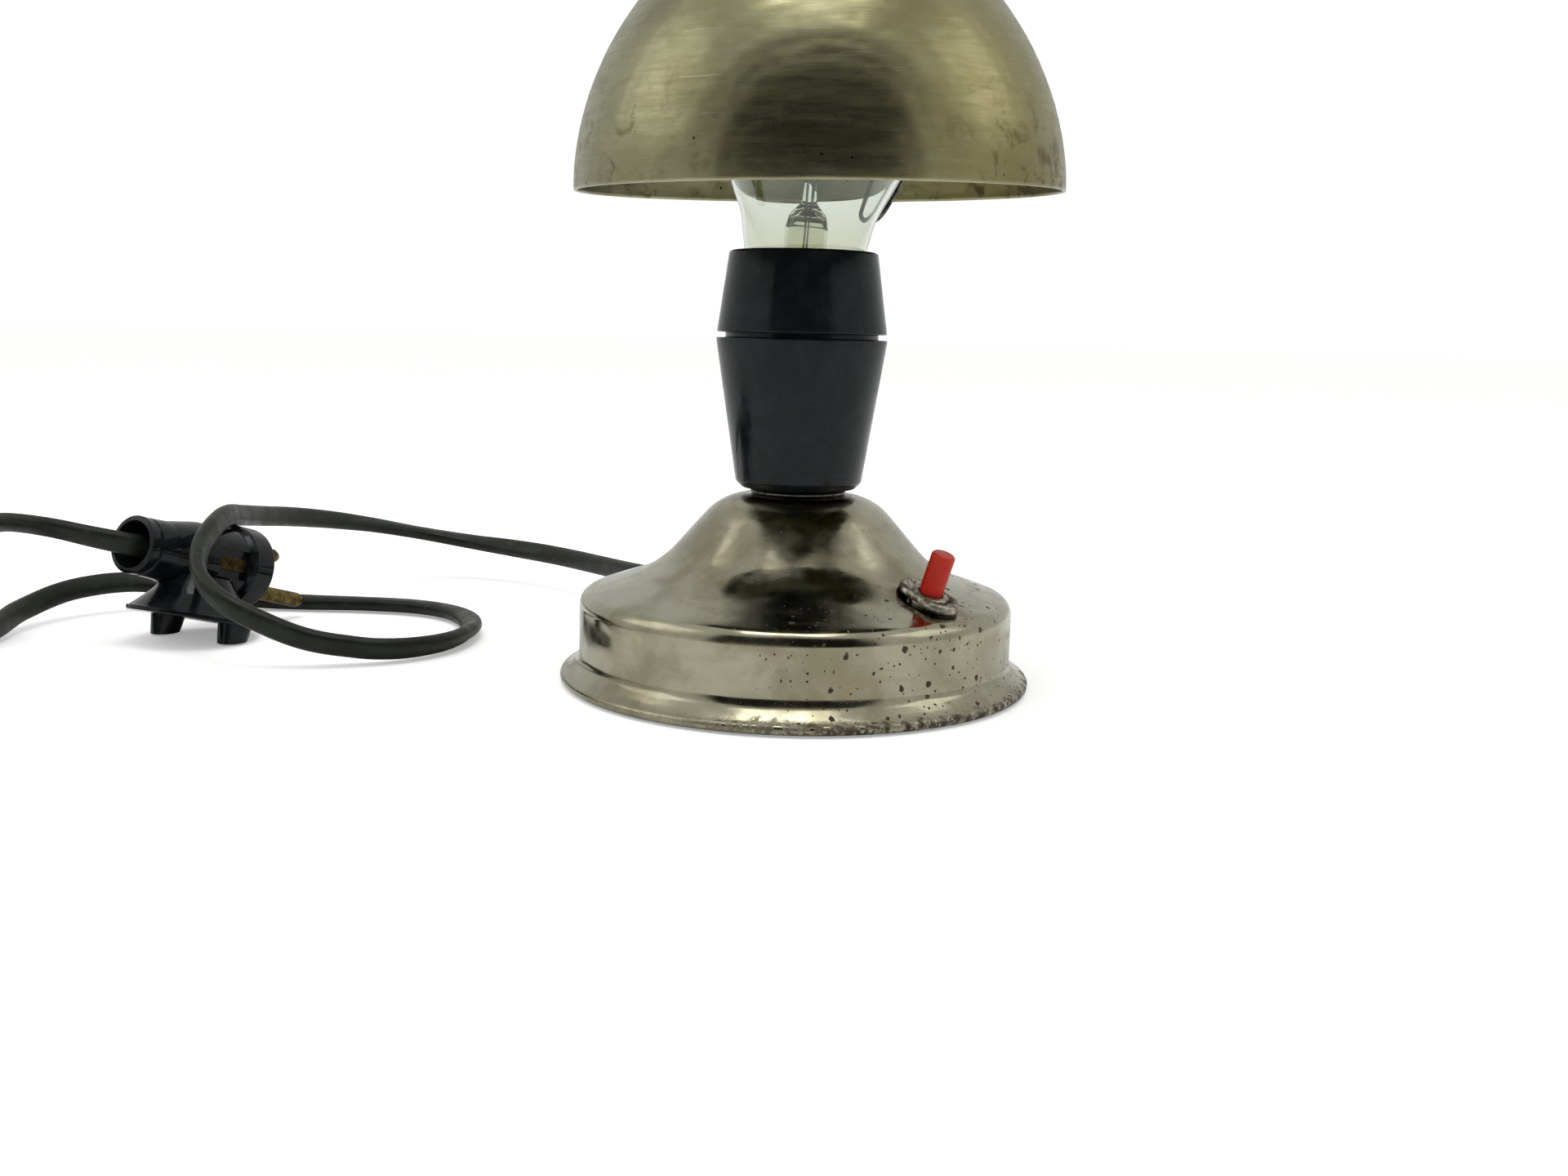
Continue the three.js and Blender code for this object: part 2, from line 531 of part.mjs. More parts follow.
const wireRadius = 0.8;
const inSwitch = (x, y, z) => new THREE.Vector3(x, y, z).applyMatrix4(switchFrame.matrixWorld).toArray();
const inExit = (x, y, z) => new THREE.Vector3(x, y, z).applyMatrix4(cordExit.matrixWorld).toArray();
const overBallast = ballastTop + gap + wireRadius + 1;
const underTerminal = insertBottom - gap - 1.6 - gap - wireRadius;
const upNipple = (side) => [[side * 1.4, 0, nippleBottom - 1], [side * 1.4, 0, nippleTop],
  [side * 3.2, 0, underTerminal - 1.4], [side * terminalSpread, 0, underTerminal]];
const wireRoutes = {
  wire_to_switch: [inExit(0, 1.6, -7), inExit(0, 2, -16), [-9, 24, overBallast + 1], [11, 17, overBallast + 1],
    [20, -2, overBallast + 1], inSwitch(-15, 3, -11), inSwitch(-switchBodyRadius - gap - 0.05, 1.6, -13)],
  wire_to_holder: [inExit(0, -1.6, -7), inExit(0, -3, -16), [-17, 18, 27], [-6, 5, 36], ...upNipple(-1)],
  wire_from_switch: [inSwitch(-switchBodyRadius - gap - 0.05, -1.6, -13), inSwitch(-14, -3, -10), [12, -11, 30],
    [5, -4, 37], ...upNipple(1)],
};
for (const [name, route] of Object.entries(wireRoutes)) {
  const look = name === 'wire_to_holder' ? 'wireBlack' : 'wireRed';
  add(lamp, name, tubeAlong(route, 2 * wireRadius, 2 * wireRadius, 5, 22), look);
}

// ---------------------------------------------------------------- mains lead

add(cordExit, 'cord_gland', turned([
  [glandNeckRadius + 1.4, -5.5], [glandNeckRadius + 1.4, -2.4],
  [glandNeckRadius, -2.4], [glandNeckRadius, 1], [glandNeckRadius + 1.6, 1], [glandNeckRadius + 1.4, 3.2],
  [cordWidth / 2 + 1.4, glandLength], [cordWidth / 2 + 2 * gap, glandLength], [cordWidth / 2 + 2 * gap, -5.5],
], 16), 'rubber');

// From the strain relief behind the base, over the plug, back behind it and away to the coil.
const leadRoute = [
  inExit(0, 0, 14), inExit(0, 0, 26), [-58, 92, 13.6], [-72, 112, 12.8], [-88, 130, 12.6], [-106, 143, 13], [-124, 149, 14.3],
  [-142, 147, 17.3], [-157, 137, 21.3], [-168, 121, 25], [-175, 103, 28], [-178, 84, 30.5], [-178, 65, 33],
  [-175.5, 46, 35.2], [-173.3, 29, 33.8], [-171.5, 14, 29], [-167, 3, 23.4], [-158.5, -4, 18], [-148, -6, 13.2],
  [-136, -4, 8.2], [-124, 0, 4.4], [-112, 6, 3.6], [-103, 17, 3.6], [-99.5, 33, 3.6], [-102, 51, 3.6],
  [-111, 67, 3.6], [-125, 76, 3.6], [-143, 79, 3.6], [-161, 79, 3.6], [-180, 79, 4], [-200, 77, 6.5],
  [-217, 70, 9.5], [-230, 56, 9], [-236, 37, 6], [-234.5, 16, 4.2], [-234, 0, 4.4], [-238, -14, 4.6],
  [-246.5, -24.5, 4.7], [-256, -31.6, 4.8], [-265.2, -36.6, 4.9],
];
// From the coil, in a low arch, into the mouth of the plug.
const tailRoute = [
  [-274.5, 44.2, coilLift + 2 * cordWidth + 0.9], [-262, 38.5, 23], [-249, 30.5, 29.2], [-239, 22.5, 33.2], [-229, 16.5, 35.6], [-215, 13.4, 35], [-202.4, 14.2, 32.4],
  [-193.8, 18.2, 29.9], [-189.3, 24.3, 27.8],
];
add(lamp, 'cord_lead', tubeAlong(leadRoute, cordWidth, cordThickness, 8, 64), 'rubber');
add(lamp, 'cord_tail', tubeAlong(tailRoute, cordWidth, cordThickness, 8, 16), 'rubber');

// Two turns side by side and two more on top, each standing on its narrow edge.
const coilHalfAcross = cordThickness + 0.3;
const coilHalfHigh = cordWidth + 0.3;
const coilIn = coilRadius - coilHalfAcross;
const coilOut = coilRadius + coilHalfAcross;
const coilTop = coilLift + 2 * coilHalfHigh;
add(lamp, 'cord_coil', turned([[coilIn + 1.5, coilLift], [coilOut - 1.5, coilLift], [coilOut, coilLift + 2],
  [coilOut, coilTop - 2], [coilOut - 1.5, coilTop], [coilIn + 1.5, coilTop], [coilIn, coilTop - 2],
  [coilIn, coilLift + 2]], 36).translate(coilCentre.x, coilCentre.y, 0), 'rubber');

const tieSlack = 0.7;
function coilTie() {
  const opening = [2 * (coilHalfAcross + tieSlack), 9, 2 * (coilHalfHigh + gap)];
  const band = new THREE.BoxGeometry(opening[0] + 2 * tieThickness, opening[1], opening[2] + 2 * tieThickness);
  const window = new THREE.BoxGeometry(opening[0], 2 * opening[1], opening[2]);
  return cut(band, window).translate(coilCentre.x - coilRadius, coilCentre.y, coilLift + coilHalfHigh);
}
add(lamp, 'cord_tie', coilTie(), 'wireBlack');

// ---------------------------------------------------------------- plug

// The plug lies along its own Z here and is turned onto the frame's X at the end.
const collarRadius = 8.6;
const collarDepth = 14;
const plugBodyRadius = 10.8;
const plugOutside = rounded([[collarRadius - 1.5, 0], [collarRadius, 0.4], [collarRadius + 0.3, 10, 6],
  [plugBodyRadius, 21, 8], [plugBodyRadius + 0.5, 35], [plugFaceRadius - 0.4, 36], [plugFaceRadius, 37],
  [plugFaceRadius, plugLength - 0.8], [plugFaceRadius - 0.8, plugLength]], 3);
const plugInside = [[0, plugLength], [0, plugLength - 5], [plugBodyRadius - plugWall, plugLength - 5],
  [plugBodyRadius - plugWall, 21], [cordWidth / 2 + 2.6, collarDepth], [collarRadius - 1.6, 2], [collarRadius - 1.5, 0]];
const alongX = (geometry) => geometry.rotateY(Math.PI / 2);
const skirtCentre = [22, -6];       // along the plug and to its side
const skirtFall = { top: -5.5, rim: -17, bottom: -18.4 };
const lugLength = 8;
const lugStation = 25;
const recess = { from: 24, to: 35.2, height: 9, depth: 1.6 };

const pinRoot = 7.5;
const pinPlace = (side) => [side * pinSpacing / 2 * Math.sin(pinRoll), side * pinSpacing / 2 * Math.cos(pinRoll)];

function plugBlank() {
  const body = alongX(turned([...plugOutside, ...plugInside], 28));
  const recesses = [-1, 1].map((side) => new THREE.BoxGeometry(recess.to - recess.from, 6, recess.height)
    .translate((recess.from + recess.to) / 2, side * (plugBodyRadius - recess.depth + 3), 0));
  const pinHoles = [-1, 1].map((side) => alongX(new THREE.CylinderGeometry(pinRadius + gap, pinRadius + gap, 12, 16)
    .rotateX(Math.PI / 2)).translate(plugLength - pinRoot - gap + 6, ...pinPlace(side)));
  return cut(body, ...recesses, ...pinHoles);
}

function half(geometry, side) {
  const size = 60;
  const other = new THREE.BoxGeometry(2 * size, 2 * size, size).translate(0, 0, -side * (size / 2 - gap / 2));
  return cut(geometry, other);
}

// The lower shell widens into a round skirt with a thin rim, which stands on two tapered feet.
function plugSkirt() {
  const upright = (top, bottom, from, to) => new THREE.CylinderGeometry(top, bottom, from - to, 24)
    .rotateX(Math.PI / 2).translate(...skirtCentre, (from + to) / 2);
  return [upright(9, skirtRimRadius - 0.6, skirtFall.top, skirtFall.rim),
    upright(skirtRimRadius, skirtRimRadius, skirtFall.rim + 0.1, skirtFall.bottom)];
}

function lug(side) {
  return new THREE.CylinderGeometry(5, 3.7, lugLength, 12).rotateX(Math.PI / 2)
    .translate(lugStation, skirtCentre[1] + side * lugSpread, skirtFall.bottom + 0.2 - lugLength / 2);
}

const plugWhole = plugBlank();
const throat = alongX(new THREE.CylinderGeometry(plugBodyRadius - 1.2, plugBodyRadius - 1.2, 18, 24).rotateX(Math.PI / 2))
  .translate(27, 0, 0);
function lowerShell() {
  const shell = toSolid(half(plugWhole, -1));
  const foot = [...plugSkirt(), lug(-1), lug(1)].map((piece) => toSolid(piece).subtract(toSolid(throat)));
  const table = new THREE.BoxGeometry(200, 200, 40).translate(plugMouth.x, plugMouth.y, -20 + 0.25)
    .applyMatrix4(plugFrame.matrixWorld.clone().invert());
  return toGeometry(foot.reduce((solid, piece) => solid.add(piece), shell).subtract(toSolid(table)));
}
add(plugFrame, 'plug_upper_shell', half(plugWhole, 1), 'bakelite');
add(plugFrame, 'plug_lower_shell', lowerShell(), 'bakelite');

const pinOutline = [[0, -pinRoot], [pinRadius, -pinRoot], [pinRadius, pinLength - 1.8], [pinRadius - 0.9, pinLength], [0, pinLength]];
[1, -1].forEach((side, i) => {
  const pin = alongX(turned(pinOutline, 14)).translate(plugLength, ...pinPlace(side));
  add(plugFrame, `plug_pin_${i + 1}`, pin, 'brass');
});
[-1, 1].forEach((side, i) => {
  const strip = new THREE.BoxGeometry(recess.to - recess.from - 1, 0.8, 4)
    .translate((recess.from + recess.to) / 2, side * (plugBodyRadius - recess.depth + gap + 0.4), 0);
  add(plugFrame, `plug_earth_strip_${i + 1}`, strip, 'brass');
});

export default lamp;
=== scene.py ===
# %% [markdown]
# # A small clip-on bedside lamp
# A dome of spun metal hangs on a clear bulb by a wire clip. The bulb screws into a black moulded
# lampholder, which stands on a pressed metal base with a red push switch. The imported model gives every
# piece its place. This lesson gives each piece its finer shape and its finish. It works in millimetres and
# turns them to metres in one place.

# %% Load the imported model
import json
import math
import bmesh
import bpy
import numpy as np
from mathutils import Matrix, Vector


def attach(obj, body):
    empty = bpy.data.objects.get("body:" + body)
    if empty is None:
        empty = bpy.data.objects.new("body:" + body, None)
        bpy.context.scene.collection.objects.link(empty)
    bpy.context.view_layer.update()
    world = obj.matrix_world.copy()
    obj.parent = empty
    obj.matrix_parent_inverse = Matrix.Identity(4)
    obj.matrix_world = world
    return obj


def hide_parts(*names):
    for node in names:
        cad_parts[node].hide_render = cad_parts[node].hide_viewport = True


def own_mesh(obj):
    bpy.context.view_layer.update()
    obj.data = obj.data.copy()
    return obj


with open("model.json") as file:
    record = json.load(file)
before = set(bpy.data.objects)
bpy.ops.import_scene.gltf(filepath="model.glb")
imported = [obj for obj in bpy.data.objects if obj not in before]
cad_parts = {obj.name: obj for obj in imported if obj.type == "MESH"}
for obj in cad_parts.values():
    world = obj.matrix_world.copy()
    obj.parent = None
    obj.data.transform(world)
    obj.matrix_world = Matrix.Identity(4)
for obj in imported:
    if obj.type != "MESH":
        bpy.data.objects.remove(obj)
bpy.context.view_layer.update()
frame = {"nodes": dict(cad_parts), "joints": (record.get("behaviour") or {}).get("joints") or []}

joints = {joint["name"]: joint for joint in frame["joints"]}

# %% [markdown]
# ## The camera
# The camera comes first, because the spare lead has to lie outside its view. It stands low in front of the
# lamp, looks a little down, and leans a degree to one side, as a camera held in the hand does.

# %% Make the camera
CAMERA_PLACE = Vector((0.0, -0.402, 0.0938))
CAMERA_PITCH = math.radians(9.72)
CAMERA_ROLL = math.radians(1.37)
CAMERA_YAW = math.radians(-0.455)


def camera_matrix():
    ahead = Vector((math.sin(CAMERA_YAW) * math.cos(CAMERA_PITCH),
                    math.cos(CAMERA_YAW) * math.cos(CAMERA_PITCH), -math.sin(CAMERA_PITCH)))
    level = Vector((math.cos(CAMERA_YAW), -math.sin(CAMERA_YAW), 0.0))
    upward = level.cross(ahead)
    right = math.cos(CAMERA_ROLL) * level + math.sin(CAMERA_ROLL) * upward
    top = -math.sin(CAMERA_ROLL) * level + math.cos(CAMERA_ROLL) * upward
    turn = Matrix((right, top, -ahead)).transposed().to_4x4()
    return Matrix.Translation(CAMERA_PLACE) @ turn


lens = bpy.data.cameras.new("camera")
lens.lens = 33.75
lens.sensor_width = 36.0
lens.clip_start = 0.01
camera = bpy.data.objects.new("camera", lens)
bpy.context.scene.collection.objects.link(camera)
camera.matrix_world = camera_matrix()
bpy.context.scene.camera = camera
print("camera", [round(x, 3) for x in CAMERA_PLACE])

# %% [markdown]
# ## Frames
# Four groups of pieces lean: the switch stands square to the base's slope, the glass was cemented crooked
# in its cap, the shade hangs a little tipped, and the plug lies over on its feet. Each has its own frame,
# whose Z is the group's axis, except the plug, whose X runs from the lead to the pins.

# %% Set up the frames
MM = 0.001
GAP = 0.3


def leaning(origin, azimuth=0.0, tilt=0.0):
    """A frame at a point in mm, tilted about Y and then turned about Z, in degrees."""
    place = Matrix.Translation(Vector(origin))
    return place @ Matrix.Rotation(math.radians(azimuth), 4, "Z") @ Matrix.Rotation(math.radians(tilt), 4,
        "Y")


UPRIGHT = Matrix.Identity(4)
SWITCH_RADIUS, SWITCH_AZIMUTH, SWITCH_HEIGHT = 47.0, -44.0, 28.0
switch_foot = (SWITCH_RADIUS * math.cos(math.radians(SWITCH_AZIMUTH)),
               SWITCH_RADIUS * math.sin(math.radians(SWITCH_AZIMUTH)), SWITCH_HEIGHT)
IN_SWITCH = leaning(switch_foot, SWITCH_AZIMUTH, 20.0)
WALL_RADIUS, EXIT_AZIMUTH, EXIT_HEIGHT = 59.4, 121.0, 14.5
exit_foot = (WALL_RADIUS * math.cos(math.radians(EXIT_AZIMUTH)),
             WALL_RADIUS * math.sin(math.radians(EXIT_AZIMUTH)), EXIT_HEIGHT)
IN_EXIT = leaning(exit_foot, EXIT_AZIMUTH, 90.0)
globe_centre = Vector(joints["shade_tilt"]["pos_m"]) / MM
GLASS_BEND = 114.0
IN_GLASS = leaning((0, 0, GLASS_BEND), 0.0, math.degrees(math.atan2(globe_centre.x,
    globe_centre.z - GLASS_BEND)))
IN_SHADE = (Matrix.Translation(globe_centre) @ Matrix.Rotation(math.radians(-1.1), 4, "Y")
            @ Matrix.Rotation(math.radians(2.8), 4, "X"))
IN_CLIP = IN_SHADE @ Matrix.Rotation(math.radians(40), 4, "Z")
IN_PLUG = leaning((-192.5, 17.5, 30.0), 65.0, 17.0)
ALONG_PLUG = IN_PLUG @ Matrix.Rotation(math.radians(90), 4, "Y")
print("switch axis", [round(x, 3) for x in IN_SWITCH.to_3x3().col[2]])
print("shade axis", [round(x, 3) for x in IN_SHADE.to_3x3().col[2]])

# %% [markdown]
# ## Shaping by turning and sweeping
# Most pieces are round, as the lathe, the spinning chuck and the turned mould made them. So one helper
# turns an outline about an axis, and another sweeps a section along a path for wires and leads. Fillets are
# arcs, worked out where two straight stretches meet.

# %% Outline helpers


def rounded(corners, steps=6):
    """Points along an outline whose corners (r, z, fillet) are rounded with arcs."""
    points = []
    for i, corner in enumerate(corners):
        at = Vector(corner[:2])
        fillet = corner[2] if len(corner) > 2 else 0
        if not fillet:
            points.append(at)
            continue
        before = Vector(corners[i - 1][:2]) - at
        after = Vector(corners[i + 1][:2]) - at
        turn = math.pi - before.angle(after)
        room = 0.49 * min(before.length, after.length)
        radius = min(fillet, room / math.tan(turn / 2))
        reach = radius * math.tan(turn / 2)
        start, end = at + before.normalized() * reach, at + after.normalized() * reach
        middle = at + (before.normalized() + after.normalized()).normalized() * radius / math.cos(turn / 2)
        swing = (start - middle).angle_signed(end - middle)
        for k in range(steps + 1):
            points.append(middle + Matrix.Rotation(-swing * k / steps, 2) @ (start - middle))
    return points


def arc(r, z, radius, start, end, steps):
    angles = [math.radians(start + (end - start) * k / steps) for k in range(steps + 1)]
    return [Vector((r + radius * math.cos(a), z + radius * math.sin(a))) for a in angles]


def inset(points, distance):
    """The same outline moved to the right of its direction of travel."""
    moved = []
    for i, point in enumerate(points):
        along = (Vector(points[min(i + 1, len(points) - 1)]) - Vector(points[max(i - 1, 0)])).normalized()
        moved.append(Vector(point) + Vector((along.y, -along.x)) * distance)
    return moved


# %% [markdown]
# ## Mesh helpers
# A turned piece or a block starts as a list of corners and faces. These helpers make such a list into a
# mesh, turn its faces outwards by the sign of its volume, and stand it in its place. Another cuts one solid
# with others by a Boolean modifier. Blender's own primitives could make the simplest pieces, but a shared
# way keeps them all in the same units.

# %% Mesh helpers


def signed_volume(mesh):
    mesh.calc_loop_triangles()
    corners = np.empty(len(mesh.vertices) * 3)
    mesh.vertices.foreach_get("co", corners)
    triangles = np.empty(len(mesh.loop_triangles) * 3, int)
    mesh.loop_triangles.foreach_get("vertices", triangles)
    a, b, c = corners.reshape(-1, 3)[triangles.reshape(-1, 3)].transpose(1, 0, 2)
    return float(np.einsum("ij,ij->i", a, np.cross(b, c)).sum() / 6)


def piece(name, vertices, faces, placed=UPRIGHT, sharp=32.0):
    """A mesh object from points in mm, put in its place in metres, with its faces outwards."""
    mesh = bpy.data.meshes.new(name)
    mesh.from_pydata([tuple(v) for v in vertices], [], faces)
    mesh.transform(Matrix.Scale(MM, 4) @ placed)
    if signed_volume(mesh) < 0:
        mesh.flip_normals()
    return finished(name, mesh, sharp)


def finished(name, mesh, sharp=32.0):
    mesh.shade_smooth()
    mesh.set_sharp_from_angle(angle=math.radians(sharp))
    made = bpy.data.objects.new(name, mesh)
    bpy.context.scene.collection.objects.link(made)
    return made


def turned(name, outline, placed=UPRIGHT, segments=128, sharp=32.0):
    """A solid of revolution about the frame's Z. The outline closes on itself or ends on the axis."""
    outline = [Vector(p[:2]) for p in outline]
    vertices, rings = [], []
    for r, z in outline:
        if r < 1e-6:
            rings.append([len(vertices)] * segments)
            vertices.append((0, 0, z))
        else:
            rings.append(list(range(len(vertices), len(vertices) + segments)))
            vertices += [(r * math.cos(a), r * math.sin(a), z)
                         for a in (2 * math.pi * k / segments for k in range(segments))]
    if outline[0].x > 1e-6 or outline[-1].x > 1e-6:
        rings.append(rings[0])
    faces = []
    for low, high in zip(rings, rings[1:]):
        for k in range(segments):
            after = (k + 1) % segments
            corners = list(dict.fromkeys([low[k], low[after], high[after], high[k]]))
            if len(corners) > 2:
                faces.append(corners)
    return piece(name, vertices, faces, placed, sharp)


def with_cuts(name, whole, tools, operation="DIFFERENCE", sharp=32.0):
    """The whole with each tool cut away or joined on, as a plain mesh. The tools are removed."""
    for tool in tools:
        step = whole.modifiers.new("cut", "BOOLEAN")
        step.operation = operation
        step.solver = "EXACT"
        step.object = tool
    graph = bpy.context.evaluated_depsgraph_get()
    mesh = bpy.data.meshes.new_from_object(whole.evaluated_get(graph))
    mesh.name = name
    for gone in [whole, *tools]:
        bpy.data.objects.remove(gone)
    return finished(name, mesh, sharp)


def block(name, low, high, placed=UPRIGHT):
    corners = [(x, y, z) for x in (low[0], high[0]) for y in (low[1], high[1]) for z in (low[2], high[2])]
    sides = [(0, 1, 3, 2), (4, 6, 7, 5), (0, 4, 5, 1), (2, 3, 7, 6), (0, 2, 6, 4), (1, 5, 7, 3)]
    return piece(name, corners, sides, placed)


# %% [markdown]
# ## Path helpers
# A wire or a lead is a section carried along a line. The line is a smooth curve through a few points, and
# the section turns with it. A curve object with a bevel could do the same, but here the section's flat side
# has to lie the way the lead really lies.

# %% Path helpers


def smooth_path(points, step):
    """A centripetal Catmull-Rom curve through the points, sampled about every step."""
    points = np.array(points, float)
    ends = np.vstack([2 * points[0] - points[1], points, 2 * points[-1] - points[-2]])
    line = [points[0]]
    for p0, p1, p2, p3 in zip(ends, ends[1:], ends[2:], ends[3:]):
        t1 = np.linalg.norm(p1 - p0) ** 0.5
        t2 = t1 + np.linalg.norm(p2 - p1) ** 0.5
        t3 = t2 + np.linalg.norm(p3 - p2) ** 0.5
        count = max(2, round(np.linalg.norm(p2 - p1) / step))
        for t in np.linspace(t1, t2, count + 1)[1:]:
            a1 = (t1 - t) / t1 * p0 + t / t1 * p1
            a2 = (t2 - t) / (t2 - t1) * p1 + (t - t1) / (t2 - t1) * p2
            a3 = (t3 - t) / (t3 - t2) * p2 + (t - t2) / (t3 - t2) * p3
            b1 = (t2 - t) / t2 * a1 + t / t2 * a2
            b2 = (t3 - t) / (t3 - t1) * a2 + (t - t1) / (t3 - t1) * a3
            line.append((t2 - t) / (t2 - t1) * b1 + (t - t1) / (t2 - t1) * b2)
    return np.array(line)


def swept(name, line, section, wide=None, placed=UPRIGHT, sharp=50.0):
    """A solid with this section along a line.

    wide is the way the section's first axis points, one for each point."""
    line = np.array(line, float)
    tangents = np.gradient(line, axis=0)
    tangents /= np.linalg.norm(tangents, axis=1)[:, None]
    if wide is None:
        side = np.cross(tangents[0], (0.31, 0.5, 0.81))
        wide = []
        for tangent in tangents:
            side = side - tangent * (side @ tangent)
            side /= np.linalg.norm(side)
            wide.append(side.copy())
    wide = np.array(wide, float)
    wide -= tangents * np.einsum("ij,ij->i", wide, tangents)[:, None]
    wide /= np.linalg.norm(wide, axis=1)[:, None]
    narrow = np.cross(tangents, wide)
    around = len(section)
    section = np.array(section, float)
    vertices = (line[:, None] + wide[:, None] * section[None, :, :1] + narrow[:, None] * section[None, :, 1:])
    faces = [[i * around + k, i * around + (k + 1) % around, (i + 1) * around + (k + 1) % around,
              (i + 1) * around + k] for i in range(len(line) - 1) for k in range(around)]
    faces += [list(range(around))[::-1], [(len(line) - 1) * around + k for k in range(around)]]
    made = piece(name, vertices.reshape(-1, 3), faces, placed, sharp)
    add_lead_map(made.data, line, around)
    return made


def add_lead_map(mesh, line, around):
    """A UV map in mm: U along the line, V the share of the way round."""
    along = np.concatenate([[0], np.cumsum(np.linalg.norm(np.diff(line, axis=0), axis=1))])
    layer = mesh.uv_layers.new(name="along_and_round")
    for polygon in mesh.polygons:
        for loop in polygon.loop_indices:
            vertex = mesh.loops[loop].vertex_index
            layer.data[loop].uv = (along[vertex // around], (vertex % around) / around)


def ring_section(radius, sides):
    return [(radius * math.cos(2 * math.pi * k / sides), radius * math.sin(2 * math.pi * k / sides))
            for k in range(sides)]


# %% [markdown]
# ## The lead's route
# The lead is flat twin flex, 6.8 mm by 4.5 mm and about 1.75 m long. It leaves the back of the base,
# crosses over the plug, doubles back behind it and runs off to the side, where the spare length is wound in
# a coil of 4 turns and tied. The end comes back in a low arch to the plug. A flat lead bends more easily
# one way than the other, so it twists as it goes: it stands on edge at the base and in the coil, and lies
# flat where it crosses the table.

# %% Route the lead
LEAD_WIDTH, LEAD_THICKNESS = 6.8, 4.5
COIL_CENTRE, COIL_RADIUS, COIL_LIFT = (-296.0, 2.0), 40.8, 1.3

# Each point is x, y, z in mm and how far the wide side has turned from upright towards flat, from 0 to 1.
LEAD_ROUTE = [
    (-37.8, 62.9, 14.5, 0), (-44.3, 72.9, 14.5, 0), (-58, 92, 13.6, 0), (-72, 112, 12.8, 0.1),
    (-88, 130, 12.6, 0.25),
    (-106, 143, 13, 0.5), (-124, 149, 14.3, 0.8), (-142, 147, 17.3, 0.9), (-157, 137, 21.3, 0.7),
    (-168, 121, 25, 0.4),
    (-175, 103, 28, 0.2), (-178, 84, 30.5, 0.1), (-178, 65, 33, 0.1), (-175.5, 46, 35.2, 0.1),
    (-173.3, 29, 33.8, 0.1),
    (-171.5, 14, 29, 0.1), (-167, 3, 23.4, 0.15), (-158.5, -4, 18, 0.2), (-148, -6, 13.2, 0.25),
    (-136, -4, 8.0, 0.3), (-124, 0, 5.2, 0.35), (-112, 6, 4.1, 0.4), (-103, 17, 3.8, 0.5),
    (-99.5, 33, 3.6, 0.6),
    (-102, 51, 3.6, 0.8), (-111, 67, 3.6, 1), (-125, 76, 3.6, 1), (-143, 79, 3.6, 1), (-161, 79, 3.6, 0.9),
    (-180, 79, 4, 0.8), (-200, 77, 6.5, 0.6), (-217, 70, 9.5, 0.4), (-230, 56, 9, 0.3), (-236, 37, 6, 0.2),
    (-234.5, 16, 4.2, 0.1), (-234, 0, 4.4, 0), (-238, -14, 4.6, 0), (-246.5, -24.5, 4.7, 0),
    (-256, -31.6, 4.8, 0),
    (-265.2, -36.6, 4.9, 0),
]
TAIL_ROUTE = [
    (-274.5, 44.2, 15.8, 0), (-262, 38.5, 23, 0.2), (-249, 30.5, 29.2, 0.5), (-239, 22.5, 33.2, 0.6),
    (-229, 16.5, 35.6, 0.6), (-215, 13.4, 35, 0.5), (-202.4, 14.2, 32.4, 0.4), (-193.8, 18.2, 29.9, 0.3),
    (-189.3, 24.3, 27.8, 0.3),
]


def eased(value, start, end, low, high):
    share = min(max((value - start) / (end - start), 0), 1)
    return low + (high - low) * share * share * (3 - 2 * share)


def coil_turns():
    """Four turns wound clockwise: outer and inner at the bottom, then inner and outer on top."""
    across, low = LEAD_THICKNESS / 2 + 0.15, COIL_LIFT + LEAD_WIDTH / 2 + 0.2
    high = low + LEAD_WIDTH + 0.3
    points = []
    for angle in range(18, 1311, 12):
        radius = COIL_RADIUS + across - eased(angle, 325, 375, 0, 2 * across) + eased(angle, 900, 955, 0,
            2 * across)
        radius += eased(angle, 0, 40, 5.4, 0) + eased(angle, 1262, 1322, 0, 4.4)
        height = low + eased(angle, 600, 660, 0, high - low) + eased(angle, 1275, 1330, 0, 3.2)
        turn = math.radians(-50 - angle)
        points.append((COIL_CENTRE[0] + radius * math.cos(turn), COIL_CENTRE[1] + radius * math.sin(turn),
            height, 0))
    return points


lead_points = np.array(LEAD_ROUTE + coil_turns() + TAIL_ROUTE)
lead_line = smooth_path(lead_points, 2.2)
lead_flatness = np.clip(lead_line[:, 3], 0, 1)
lead_line = lead_line[:, :3]
half_height = np.hypot(LEAD_WIDTH / 2 * np.cos(lead_flatness * math.pi / 2),
                       LEAD_THICKNESS / 2 * np.sin(lead_flatness * math.pi / 2))
on_table = np.clip((5.6 - lead_line[:, 2]) / 2.0, 0, 1) ** 2
lead_line[:, 2] += on_table * (np.maximum(half_height + 0.25, 2.5) - lead_line[:, 2])
lead_length = float(np.linalg.norm(np.diff(lead_line, axis=0), axis=1).sum())
print("lead", round(lead_length), "mm, points", len(lead_line))

# %% [markdown]
# ## The lead's section
# The lead is two cores moulded side by side, so its section is a flat oval with a shallow groove. It is
# swept along the route once, from the base, round the coil and on to the plug, so that it is one unbroken
# cord.

# %% Sweep the lead


